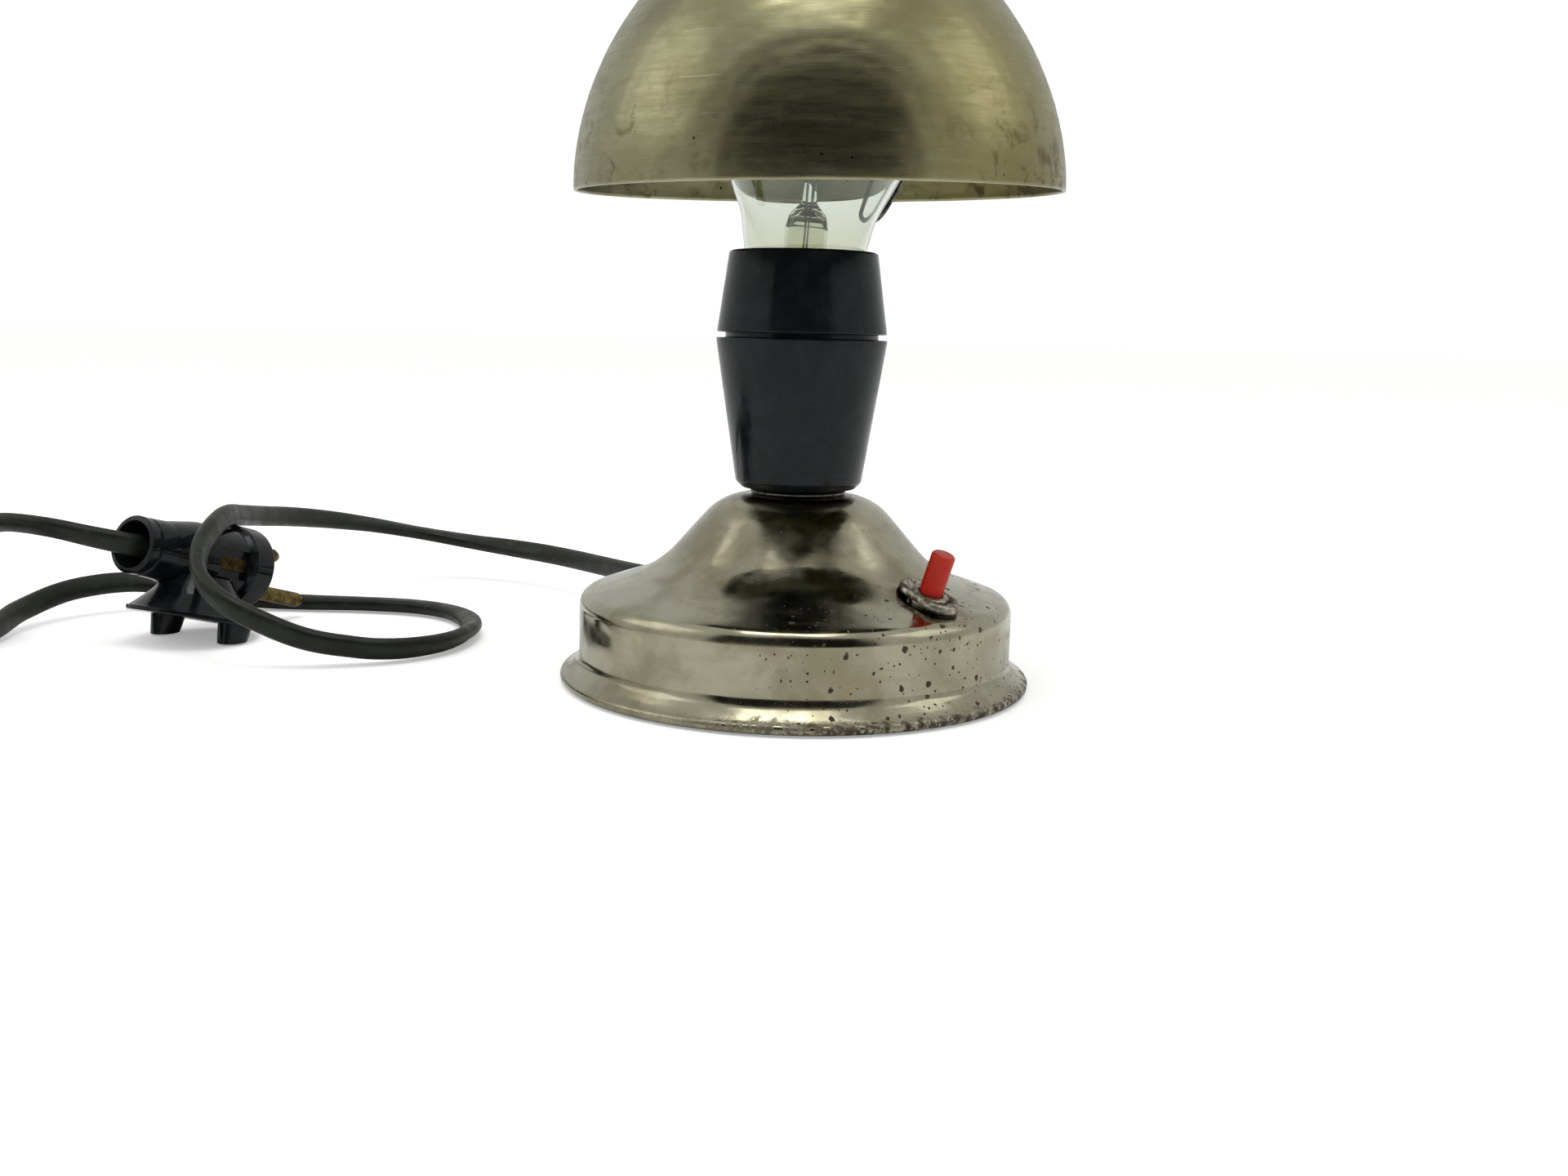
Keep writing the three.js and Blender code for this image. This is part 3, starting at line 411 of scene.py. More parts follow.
def flat_section(width, thickness, count=20, squareness=2.5):
    """A flat oval with fuller corners than an ellipse, and a shallow groove between the two cores."""
    points = []
    for k in range(count):
        angle = 2 * math.pi * k / count
        x = width / 2 * math.copysign(abs(math.cos(angle)) ** (2 / squareness), math.cos(angle))
        y = thickness / 2 * math.copysign(abs(math.sin(angle)) ** (2 / squareness), math.sin(angle))
        points.append((x, y * (1 - 0.07 * math.exp(-((x / 0.9) ** 2)))))
    return points


def wide_ways(line, flatness):
    """The wide side points up where the lead stands on edge and sideways where it lies flat."""
    tangents = np.gradient(line, axis=0)
    tangents /= np.linalg.norm(tangents, axis=1)[:, None]
    upward = np.array([(0, 0, 1.0)] * len(line)) - tangents * tangents[:, 2:]
    upward /= np.linalg.norm(upward, axis=1)[:, None]
    sideways = np.cross(tangents, upward)
    turn = flatness[:, None] * math.pi / 2
    return upward * np.cos(turn) + sideways * np.sin(turn)


lead = swept("lead", lead_line, flat_section(LEAD_WIDTH, LEAD_THICKNESS), wide_ways(lead_line, lead_flatness))
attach(lead, "lamp")
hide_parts("cord_lead", "cord_coil", "cord_tail")
print("lead faces", len(lead.data.polygons))

# %% [markdown]
# ## Finishes
# A material here is a small graph. One function turns a hex colour, as a colour picker shows it, into the
# linear colour that light needs, and one function adds a node with its settings and links. Patterns are
# drawn on the piece's own coordinates in millimetres, so that a scale of 1 over 3 makes a grain of 3 mm.

# %% Material helpers


def linear(code, alpha=1.0):
    parts = [int(code[i:i + 2], 16) / 255 for i in (1, 3, 5)]
    return (*(c / 12.92 if c <= 0.04045 else ((c + 0.055) / 1.055) ** 2.4 for c in parts), alpha)


def add(tree, kind, inputs=None, **settings):
    """Adds a node. inputs maps a socket's name or number to a value or to another node's output."""
    made = tree.nodes.new(kind)
    for key, value in settings.items():
        setattr(made, key, value)
    for key, value in (inputs or {}).items():
        if isinstance(value, bpy.types.NodeSocket):
            tree.links.new(value, made.inputs[key])
        else:
            made.inputs[key].default_value = value
    return made


def finish(name, **shader):
    """A new material with a Principled shader: returns the material, its tree and the shader."""
    made = bpy.data.materials.new(name)
    made.use_nodes = True
    tree = made.node_tree
    tree.nodes.clear()
    surface = add(tree, "ShaderNodeBsdfPrincipled", {key.replace("_", " "): v for key, v in shader.items()})
    add(tree, "ShaderNodeOutputMaterial", {"Surface": surface.outputs[0]})
    return made, tree, surface


def place_mm(tree, placed=UPRIGHT):
    """The point on the piece in mm, seen from a leaning frame."""
    where = add(tree, "ShaderNodeTexCoord").outputs["Object"]
    home = placed.inverted()
    rotation = home.to_euler("XYZ")
    return add(tree, "ShaderNodeMapping", {"Vector": where, "Location": home.translation,
        "Rotation": rotation,
                                           "Scale": (1 / MM, 1 / MM, 1 / MM)}).outputs[0]


def number(tree, operation, *values, clamp=False):
    inputs = dict(enumerate(values))
    return add(tree, "ShaderNodeMath", inputs, operation=operation, use_clamp=clamp).outputs[0]


def ramp(tree, value, low, high, start=0.0, end=1.0):
    """The value carried smoothly from one range to another."""
    return add(tree, "ShaderNodeMapRange", {"Value": value, "From Min": low, "From Max": high,
        "To Min": start,
                                            "To Max": end}, interpolation_type="SMOOTHSTEP").outputs["Result"]


def grain(tree, where, size, detail=3.0, roughness=0.55, distortion=0.0):
    """Cloudy noise whose largest lumps are about size mm."""
    return add(tree, "ShaderNodeTexNoise", {"Vector": where, "Scale": 1 / size, "Detail": detail,
                                            "Roughness": roughness, "Distortion": distortion}).outputs["Fac"]


def blended(tree, share, first, second):
    """One colour painted over another by a share from 0 to 1."""
    mixed = add(tree, "ShaderNodeMix", data_type="RGBA")
    for socket, value in ((mixed.inputs[0], share), (mixed.inputs[6], first), (mixed.inputs[7], second)):
        if isinstance(value, bpy.types.NodeSocket):
            tree.links.new(value, socket)
        else:
            socket.default_value = value
    return mixed.outputs[2]


def ring_place(tree, where, stretch):
    """Coordinates that are the same all the way round the Z axis, for the marks that turning leaves."""
    flat = add(tree, "ShaderNodeVectorMath", {0: where, 1: (1, 1, 0)}, operation="MULTIPLY").outputs[0]
    radius = add(tree, "ShaderNodeVectorMath", {0: flat}, operation="LENGTH").outputs["Value"]
    parts = add(tree, "ShaderNodeSeparateXYZ", {0: where})
    angle = number(tree, "ARCTAN2", parts.outputs[1], parts.outputs[0])
    return add(tree, "ShaderNodeCombineXYZ", {0: radius, 1: number(tree, "MULTIPLY", angle, stretch),
                                              2: parts.outputs[2]}).outputs[0]


def bump(tree, height, distance_mm, strength=1.0, under=None):
    inputs = {"Height": height, "Distance": distance_mm * MM, "Strength": strength}
    if under is not None:
        inputs["Normal"] = under
    return add(tree, "ShaderNodeBump", inputs).outputs[0]


def near(tree, where, point, reach, fade):
    """1 close to a point in mm, fading to 0 beyond its reach."""
    away = add(tree, "ShaderNodeVectorMath", {0: where, 1: point}, operation="DISTANCE").outputs["Value"]
    return ramp(tree, away, reach, reach + fade, 1.0, 0.0)


def paint(made, *finishes):
    """Gives a piece its materials, first slot first."""
    made.data.materials.clear()
    for each in finishes:
        made.data.materials.append(each)
    return made


# %% [markdown]
# ### Polished nickel plate on the base
# The base is pressed and spun from thin steel, plated with nickel and polished. Age has dulled it to a warm
# grey with cloudy stains. The plate has pin-prick pits where rust has come through, more of them on the
# right, and the foot has flaked and rusted where it stood on damp tables. A brown stain has crept out from
# under the switch.

# %% Make the base's nickel


def old_nickel():
    made, tree, shader = finish("polished_nickel_plate", Metallic=1.0, Roughness=0.2)
    where = place_mm(tree)
    parts = add(tree, "ShaderNodeSeparateXYZ", {0: where})
    across, depth, height = parts.outputs
    clouds = grain(tree, where, 16, 5.0, 0.6, 0.4)
    smears = grain(tree, ring_place(tree, where, 10), 5, 4.0, 0.6)
    colour = blended(tree, ramp(tree, clouds, 0.35, 0.7), linear("#a29e89"), linear("#858069"))
    colour = blended(tree, ramp(tree, smears, 0.5, 0.75, 0, 0.5), colour, linear("#8f8468"))

    # The top of the base round the lampholder's foot is painted darker brown as shade, and the ground round
    # the switch has a brown stain.
    neck = ramp(tree, number(tree, "ADD", height, number(tree, "MULTIPLY", clouds, 5)), 51.5, 54.2)
    switch_stain = near(tree, where, switch_foot, 6.5, 7.5)
    stain = number(tree, "MULTIPLY", switch_stain, ramp(tree, grain(tree, where, 4, 4.0), 0.36, 0.6))
    colour = blended(tree, number(tree, "MULTIPLY", neck, 0.6), colour, linear("#5c5138"))
    colour = blended(tree, number(tree, "MULTIPLY", stain, 0.75), colour, linear("#5d4c30"))

    # Pits: cells of 3.2 mm and of 1.1 mm hold one spot each, and only where a broad cloud allows it.
    spread = ramp(tree, grain(tree, where, 24, 2.0), 0.3, 0.5, 0.3, 1.0)
    rightward = number(tree, "MULTIPLY", ramp(tree, across, -25, 15, 0.2, 1.0),
        ramp(tree, height, 24, 34, 1.0, 0.45))
    spots = 0.0
    for cell, size, seed in ((3.4, 0.19, 0.0), (1.3, 0.17, 40.0), (2.0, 0.16, 90.0)):
        shifted = add(tree, "ShaderNodeVectorMath", {0: where, 1: (seed, seed, seed)},
            operation="ADD").outputs[0]
        wobbly = add(tree, "ShaderNodeVectorMath", {0: shifted, 1: add(tree, "ShaderNodeTexNoise", {
            "Vector": shifted, "Scale": 1 / 0.7, "Detail": 3.0}).outputs["Color"]},
            operation="ADD").outputs[0]
        cells = add(tree, "ShaderNodeTexVoronoi", {"Vector": wobbly, "Scale": 1 / cell})
        chance = add(tree, "ShaderNodeSeparateColor", {0: cells.outputs["Color"]}).outputs[0]
        limit = number(tree, "MULTIPLY", number(tree, "MULTIPLY", ramp(tree, chance, 0.5, 1.0), size * 1.6),
                       number(tree, "MULTIPLY", spread, rightward))
        spot = number(tree, "MULTIPLY", number(tree, "SUBTRACT", limit, cells.outputs["Distance"]), 30,
            clamp=True)
        spots = number(tree, "MAXIMUM", spots, spot)

    # Rust along the foot: strongest on the front right, broken up by noise.
    low = ramp(tree, number(tree, "ADD", height, number(tree, "MULTIPLY", grain(tree, where, 3, 5.0), 5)),
        4.2, 6.6,
               1.0, 0.0)
    flaking = ramp(tree, grain(tree, where, 2.2, 6.0, 0.7), 0.42, 0.55)
    side = ramp(tree, number(tree, "SUBTRACT", across, number(tree, "MULTIPLY", depth, 0.3)), -25, 35, 0.12,
        1.0)
    rust = number(tree, "MULTIPLY", number(tree, "MULTIPLY", low, flaking), side, clamp=True)
    dark = number(tree, "MAXIMUM", spots, rust)
    colour = blended(tree, dark, colour, blended(tree, grain(tree, where, 0.8), linear("#1e1812"),
                                                 linear("#4a3a28")))
    tree.links.new(colour, shader.inputs["Base Color"])
    tree.links.new(number(tree, "SUBTRACT", 1.0, number(tree, "MULTIPLY", dark, 0.9)),
        shader.inputs["Metallic"])

    polish = ramp(tree, grain(tree, where, 9, 4.0), 0.3, 0.7, 0.1, 0.24)
    polish = number(tree, "ADD", polish, number(tree, "MULTIPLY", ramp(tree, smears, 0.45, 0.7), 0.1))
    tree.links.new(number(tree, "ADD", polish, number(tree, "MULTIPLY", dark, 0.55)),
        shader.inputs["Roughness"])
    lines = grain(tree, ring_place(tree, where, 2), 0.5, 2.0)
    relief = bump(tree, lines, 0.006)
    relief = bump(tree, grain(tree, where, 14, 2.0), 0.25, 0.5, relief)
    relief = bump(tree, number(tree, "SUBTRACT", 1.0, dark), 0.12, 0.8, relief)
    tree.links.new(relief, shader.inputs["Normal"])
    return made


polished_nickel = old_nickel()
print("made", polished_nickel.name)

# %% [markdown]
# ### Satin nickel on the shade
# The dome was spun and then brushed round and round, so it has a soft sheen that stretches up and down. It
# has gone olive with tarnish, and it is painted darker low down on both sides and more yellow on the right,
# with a worn bright line on the very edge of the rim. The inside was never polished: it is dull and mottled
# by the heat of the bulb, and its colour is painted dark as the shade inside the dome.

# %% Make the shade's nickel
RIM_DROP = 25.3


def brushed_nickel():
    made, tree, shader = finish("satin_brushed_nickel", Metallic=1.0, Roughness=0.4)
    where = place_mm(tree, IN_SHADE)
    parts = add(tree, "ShaderNodeSeparateXYZ", {0: where})
    rings = ring_place(tree, where, 6)
    strokes = grain(tree, rings, 1.6, 5.0, 0.7)
    long_strokes = grain(tree, ring_place(tree, where, 2.2), 1.0, 3.0, 0.6)
    clouds = grain(tree, where, 24, 4.0, 0.55, 0.5)
    colour = blended(tree, ramp(tree, strokes, 0.3, 0.75), linear("#918e70"), linear("#84815f"))
    colour = blended(tree, ramp(tree, clouds, 0.42, 0.7, 0, 0.7), colour, linear("#6f6b4e"))
    colour = blended(tree, ramp(tree, long_strokes, 0.6, 0.78, 0, 0.45), colour, linear("#aba78c"))

    # The right side is painted more yellow than the left.
    right_side_yellow = ramp(tree, parts.outputs[0], -5, 60, 0.0, 0.6)
    colour = blended(tree, right_side_yellow, colour, linear("#857b48"))

    # The dome is painted darker low down, more on its sides, in smudges with soft edges, and with a few
    # sharper specks.
    lowness = ramp(tree, parts.outputs[2], -RIM_DROP + 2, -RIM_DROP + 34, 1.0, 0.0)
    sides = ramp(tree, number(tree, "ABSOLUTE", parts.outputs[0]), 22, 52)
    smudge = ramp(tree, grain(tree, where, 7, 5.0, 0.65, 0.8), 0.5, 0.68)
    low_side_darkening = number(tree, "MULTIPLY", number(tree, "MULTIPLY", lowness, smudge), number(
        tree, "ADD", number(tree, "MULTIPLY", sides, 0.6), 0.4), clamp=True)
    colour = blended(tree, number(tree, "MULTIPLY", low_side_darkening, 0.8), colour, linear("#54492c"))
    speck_cells = add(tree, "ShaderNodeTexVoronoi", {"Vector": where, "Scale": 1 / 3.6})
    chance = add(tree, "ShaderNodeSeparateColor", {0: speck_cells.outputs["Color"]}).outputs[0]
    reach = number(tree, "MULTIPLY", ramp(tree, chance, 0.6, 1.0), number(tree, "MULTIPLY", lowness, 0.16))
    specks = number(tree, "MULTIPLY", number(tree, "SUBTRACT", reach, speck_cells.outputs["Distance"]), 22,
        clamp=True)
    colour = blended(tree, specks, colour, linear("#3d3422"))
    edge = ramp(tree, parts.outputs[2], -RIM_DROP + 0.15, -RIM_DROP + 0.9, 1.0, 0.0)
    colour = blended(tree, number(tree, "MULTIPLY", edge, 0.35), colour, linear("#b9b59c"))
    tree.links.new(colour, shader.inputs["Base Color"])
    rough = ramp(tree, strokes, 0.3, 0.7, 0.27, 0.36)
    rough = number(tree, "ADD", rough, number(tree, "MULTIPLY", low_side_darkening, 0.16))
    tree.links.new(number(tree, "SUBTRACT", rough, number(tree, "MULTIPLY", edge, 0.15)),
        shader.inputs["Roughness"])
    lines = number(tree, "ADD", grain(tree, ring_place(tree, where, 3), 0.45, 3.0, 0.7),
                   number(tree, "MULTIPLY", strokes, 0.6))
    relief = bump(tree, lines, 0.022, 0.6)
    relief = bump(tree, grain(tree, where, 22, 1.0), 0.6, 0.35, relief)
    tree.links.new(relief, shader.inputs["Normal"])
    return made


def dull_shaded_inside():
    made, tree, shader = finish("unpolished_nickel_inside_painted_shade", Metallic=0.85, Roughness=0.5)
    where = place_mm(tree, IN_SHADE)
    mottle = grain(tree, where, 5, 6.0, 0.7, 0.6)
    # Painted shade: the inside's colour is painted dark for the shade inside the dome, and mottled where the
    # heat of the bulb has marked it.
    colour = blended(tree, ramp(tree, mottle, 0.35, 0.65), linear("#5f5d49"), linear("#33321f"))
    spots = ramp(tree, grain(tree, where, 1.6, 3.0, 0.6), 0.58, 0.68)
    colour = blended(tree, number(tree, "MULTIPLY", spots, 0.7), colour, linear("#2e2a1e"))
    tree.links.new(colour, shader.inputs["Base Color"])
    tree.links.new(ramp(tree, mottle, 0.3, 0.7, 0.42, 0.62), shader.inputs["Roughness"])
    tree.links.new(bump(tree, grain(tree, ring_place(tree, where, 4), 0.8, 2.0), 0.06, 0.6),
        shader.inputs["Normal"])
    return made


satin_nickel, raw_shaded_inside = brushed_nickel(), dull_shaded_inside()
print("made", satin_nickel.name, raw_shaded_inside.name)

# %% [markdown]
# ### Black moulded plastic
# The lampholder and the plug are pressed from phenolic powder in polished steel moulds. The skin is glassy
# and nearly black, with a grey-blue cast in the light, faint handling marks, and specks of dust.

# %% Make the moulded black


def black_moulding(name, base, roughness):
    made, tree, shader = finish(name, Roughness=roughness, IOR=1.5, Specular_IOR_Level=0.2)
    where = place_mm(tree)
    swirl = grain(tree, where, 11, 4.0, 0.6, 1.2)
    colour = blended(tree, ramp(tree, swirl, 0.4, 0.7), linear(base), linear("#1a1e20"))
    dust = ramp(tree, grain(tree, where, 1.1, 4.0, 0.7), 0.62, 0.8, 0, 0.06)
    colour = blended(tree, dust, colour, linear("#6f6d62"))
    tree.links.new(colour, shader.inputs["Base Color"])
    handled = ramp(tree, grain(tree, where, 6, 5.0, 0.65), 0.35, 0.75, roughness - 0.05, roughness + 0.14)
    tree.links.new(handled, shader.inputs["Roughness"])
    tree.links.new(bump(tree, grain(tree, where, 9, 2.0), 0.12, 0.35), shader.inputs["Normal"])
    return made


phenolic = black_moulding("pressed_phenolic", "#101416", 0.17)
plug_phenolic = black_moulding("pressed_phenolic_worn", "#0c0e0f", 0.14)

# %% [markdown]
# ### Glass
# The bulb is thin clear soda glass, tinted faintly brown towards the neck.

# %% Make the glass


def clear_glass():
    made, tree, shader = finish("soda_glass", Roughness=0.0, IOR=1.5)
    shader.inputs["Transmission Weight"].default_value = 1.0
    where = place_mm(tree)
    height = add(tree, "ShaderNodeSeparateXYZ", {0: where}).outputs[2]
    # The glass is tinted faintly brown towards the neck.
    neck_tint = ramp(tree, number(tree, "ADD", height, number(tree, "MULTIPLY", grain(tree, where, 9), 8)), 118,
        140,
                 0.5, 0.0)
    tree.links.new(blended(tree, neck_tint, linear("#ecf1ec"), linear("#dedbc6")), shader.inputs["Base Color"])
    tree.links.new(bump(tree, grain(tree, where, 12, 1.0), 0.15, 0.2), shader.inputs["Normal"])
    return made


soda_glass = clear_glass()

# %% [markdown]
# ### Small metals
# Brass goes brown in the open and stays yellow where it is rubbed. Zinc-plated steel is a dull blue-grey.
# The clip is drawn spring wire, dark from heat. Each is one function with its own colours and roughness.

# %% Make the small metals


def small_metal(name, bright, dull, low, high, size):
    made, tree, shader = finish(name, Metallic=1.0, Roughness=low)
    where = place_mm(tree)
    wear = grain(tree, where, size, 5.0, 0.65)
    tree.links.new(blended(tree, ramp(tree, wear, 0.35, 0.68), linear(bright), linear(dull)),
                   shader.inputs["Base Color"])
    tree.links.new(ramp(tree, wear, 0.3, 0.75, low, high), shader.inputs["Roughness"])
    tree.links.new(bump(tree, grain(tree, where, size / 6, 2.0), 0.02, 0.5), shader.inputs["Normal"])
    return made


dull_brass = small_metal("dull_brass", "#75643a", "#43371f", 0.35, 0.6, 3)
brown_brass = small_metal("tarnished_brass", "#4a3c20", "#211a10", 0.4, 0.65, 2)
zinc_plate = small_metal("zinc_plated_steel", "#b4b6b3", "#7f8180", 0.3, 0.5, 4)
spring_steel = small_metal("drawn_spring_steel", "#6d6d68", "#3f3d38", 0.25, 0.45, 2)
rusty_nickel = small_metal("nickel_plate_rusting", "#b7b4a6", "#5f5038", 0.42, 0.62, 1.8)
ballast_iron = small_metal("grey_cast_iron", "#5b5753", "#35312e", 0.6, 0.8, 2)
tungsten = small_metal("tungsten", "#6b6964", "#4a4844", 0.35, 0.5, 1)

# %% [markdown]
# ### Plastics, rubber, felt and porcelain
# The button is red thermoplastic with scuffed marks. Its top and the edge round it are painted lighter as a
# highlight, and its foot, where it goes into the bushing, is painted darker as shade. The lead's sheath is
# dark olive and slightly greasy, so it shines along its back. It also has a fine pattern of scuffs that runs
# along it, drawn on the map that the sweep made.

# %% Make the soft and plain finishes


def red_button_plastic():
    made, tree, shader = finish("red_thermoplastic", Roughness=0.35, IOR=1.49, Specular_IOR_Level=0.3)
    where = place_mm(tree, IN_SWITCH)
    mark = grain(tree, where, 1.5, 5.0, 0.7)
    # Painted highlight: the top of the button and the edge round it are painted lighter.
    top = ramp(tree, add(tree, "ShaderNodeSeparateXYZ", {0: where}).outputs[2], 12.2, 13.8)
    colour = blended(tree, ramp(tree, mark, 0.5, 0.75, 0, 0.5), linear("#b01c04"), linear("#801606"))
    colour = blended(tree, number(tree, "MULTIPLY", top, 0.5), colour, linear("#b83418"))
    # Painted shade: the button is painted darker towards its foot, where it goes into the bushing.
    foot_shade = ramp(tree, add(tree, "ShaderNodeSeparateXYZ", {0: where}).outputs[2], 2.0, 4.2, 0.7, 0.0)
    tree.links.new(blended(tree, foot_shade, colour, linear("#5a1c10")), shader.inputs["Base Color"])
    tree.links.new(ramp(tree, mark, 0.3, 0.75, 0.26, 0.5), shader.inputs["Roughness"])
    tree.links.new(bump(tree, mark, 0.03, 0.6), shader.inputs["Normal"])
    return made


def lead_sheath():
    made, tree, shader = finish("flexible_lead_sheath", Roughness=0.38, IOR=1.5, Specular_IOR_Level=0.2)
    where = place_mm(tree)
    along = add(tree, "ShaderNodeUVMap", uv_map="along_and_round").outputs[0]
    stretched = add(tree, "ShaderNodeMapping", {"Vector": along, "Scale": (0.12, 6.0, 1.0)}).outputs[0]
    streaks = add(tree, "ShaderNodeTexNoise", {"Vector": stretched, "Scale": 1.0,
        "Detail": 4.0}).outputs["Fac"]
    dirt = grain(tree, where, 6, 5.0, 0.6)
    colour = blended(tree, ramp(tree, streaks, 0.4, 0.7), linear("#171a13"), linear("#20241b"))
    colour = blended(tree, ramp(tree, dirt, 0.55, 0.8, 0, 0.5), colour, linear("#3c4034"))
    tree.links.new(colour, shader.inputs["Base Color"])
    tree.links.new(ramp(tree, dirt, 0.3, 0.75, 0.32, 0.52), shader.inputs["Roughness"])
    relief = bump(tree, streaks, 0.06, 0.6)
    relief = bump(tree, grain(tree, where, 4, 2.0), 0.25, 0.4, relief)
    tree.links.new(relief, shader.inputs["Normal"])
    return made


def plain_finish(name, first, second, size, roughness, relief_mm):
    made, tree, shader = finish(name, Roughness=roughness)
    where = place_mm(tree)
    mottle = grain(tree, where, size, 5.0, 0.65)
    tree.links.new(blended(tree, ramp(tree, mottle, 0.35, 0.7), linear(first), linear(second)),
                   shader.inputs["Base Color"])
    tree.links.new(bump(tree, grain(tree, where, size / 3, 4.0), relief_mm, 0.8), shader.inputs["Normal"])
    return made


red_plastic, sheath = red_button_plastic(), lead_sheath()
gland_rubber = plain_finish("moulded_rubber", "#23251f", "#31332b", 3, 0.55, 0.05)
green_felt = plain_finish("wool_felt", "#2d3b2e", "#1d2a20", 0.9, 0.95, 0.35)
glazed_porcelain = plain_finish("glazed_porcelain", "#e9e3d4", "#d8cfba", 6, 0.18, 0.03)
wire_cover = plain_finish("wire_insulation", "#8a2a20", "#6f2018", 3, 0.45, 0.03)
tape = plain_finish("woven_tie_tape", "#1c1d1b", "#2b2c28", 1.2, 0.8, 0.12)
paint(lead, sheath)
print("materials", len(bpy.data.materials))

# %% [markdown]
# ## The base
# One outline runs from the hole in the top, down the slope, round the shoulder, down the wall and out to
# the foot, where the sheet is rolled into a bead. Turning it gives the pressing. Two holes are then cut,
# for the switch and for the lead. A knock has left a crease low on the left of the wall, so points near it
# are pushed in.

# %% Turn and dent the base
SHEET = 1.0
BEAD_RADIUS = 1.35
BEAD = (WALL_RADIUS + 3.9, BEAD_RADIUS + 0.2)
BASE_TOP, SHOULDER_HEIGHT = 51.4, 23.6
SWITCH_BORE, LEAD_BORE = 5.1, 4.8


def base_outline():
    outside = rounded([
        (5.3, BASE_TOP), (20.3, BASE_TOP, 22), (38.6, SHOULDER_HEIGHT + (WALL_RADIUS - 38.6) * 0.339, 28),
        (WALL_RADIUS, SHOULDER_HEIGHT, 4.5), (WALL_RADIUS, 6.6, 4),
        (BEAD[0] - 0.4, BEAD[1] + BEAD_RADIUS + 0.4)], 14)
    inside = inset(outside, SHEET)[::-1]
    inside[-1].x = 5.3
    return outside + arc(*BEAD, BEAD_RADIUS, 70, -200, 18) + inside[1:]


def bore_tool(name, radius, placed):
    return turned(name, [(0, -4), (radius, -4), (radius, 4), (0, 4)], placed, 48)


def subdivided_wall(outline, longest):
    """Long straight stretches get extra points, so that a dent has something to bend."""
    points = [outline[0]]
    for point in outline[1:]:
        count = max(1, math.ceil((point - points[-1]).length / longest))
        start = points[-1].copy()
        points += [start.lerp(point, k / count) for k in range(1, count + 1)]
    return points


def knock(mesh, point, along, reach, wide, depth):
    """Pushes the mesh towards the axis around a point, in a crease that runs along a direction."""
    point, along = Vector(point) * MM, Vector(along).normalized()
    for vertex in mesh.vertices:
        offset = vertex.co - point
        down = offset.dot(along)
        side = (offset - along * down).length
        push = depth * math.exp(-(down / reach / MM) ** 2 - (side / wide / MM) ** 2) * MM
        inward = Vector((-vertex.co.x, -vertex.co.y, 0)).normalized()
        vertex.co += inward * push


def on_wall(azimuth, height, radius=WALL_RADIUS):
    return (radius * math.cos(math.radians(azimuth)), radius * math.sin(math.radians(azimuth)), height)


base = turned("pressed_base", subdivided_wall(base_outline(), 2.0), segments=240)
knock(base.data, on_wall(215, 17.5), (0.75, -0.6, -0.35), 6.5, 1.6, 0.7)
knock(base.data, on_wall(222, 14.0), (0.7, -0.7, 0.2), 4.0, 1.1, 0.35)
knock(base.data, on_wall(238, 16.5), (0, 0, 1), 5.0, 3.5, 0.12)
knock(base.data, on_wall(300, 12.5), (0, 0, 1), 4.0, 5.0, 0.1)
base = with_cuts("pressed_base", base, [bore_tool("switch_bore", SWITCH_BORE, IN_SWITCH),
                                        bore_tool("lead_bore", LEAD_BORE, IN_EXIT)])
paint(base, polished_nickel)
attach(base, "lamp")
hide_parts("base_cover")
print("base faces", len(base.data.polygons))

# %% [markdown]
# ## The felt
# A cut disc of felt keeps the lamp from scratching a table. It has no shape of its own beyond its thickness
# and its slightly bevelled edges, so it is turned like the other round pieces.

# %% Turn the felt
felt = turned("felt_pad", [(0, 0), (57.7, 0), (58, 0.3), (58, 1.7), (57.7, 2), (0, 2)], segments=160)
paint(felt, green_felt)
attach(felt, "lamp")
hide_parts("base_felt")

# %% [markdown]
# ## The push switch
# A dished oblong plate with a rolled lip sits on the slope. The red plunger stands well out of it. Lofting
# rings from an oblong lip to a round bore gives the dish, and the button is turned with a small radius on
# its top.

# %% Loft the switch plate
PLATE_LENGTH, PLATE_WIDTH, PLATE_FOOT = 17.5, 11.0, 0.75


def oblong(length, width, count):
    """Points round an oblong, evenly spaced by angle on its two half circles."""
    points = []
    for k in range(count):
        angle = 2 * math.pi * (k + 0.5) / count
        half = math.copysign((length - width) / 2, math.cos(angle))
        points.append((half + width / 2 * math.cos(angle), width / 2 * math.sin(angle)))
    return points


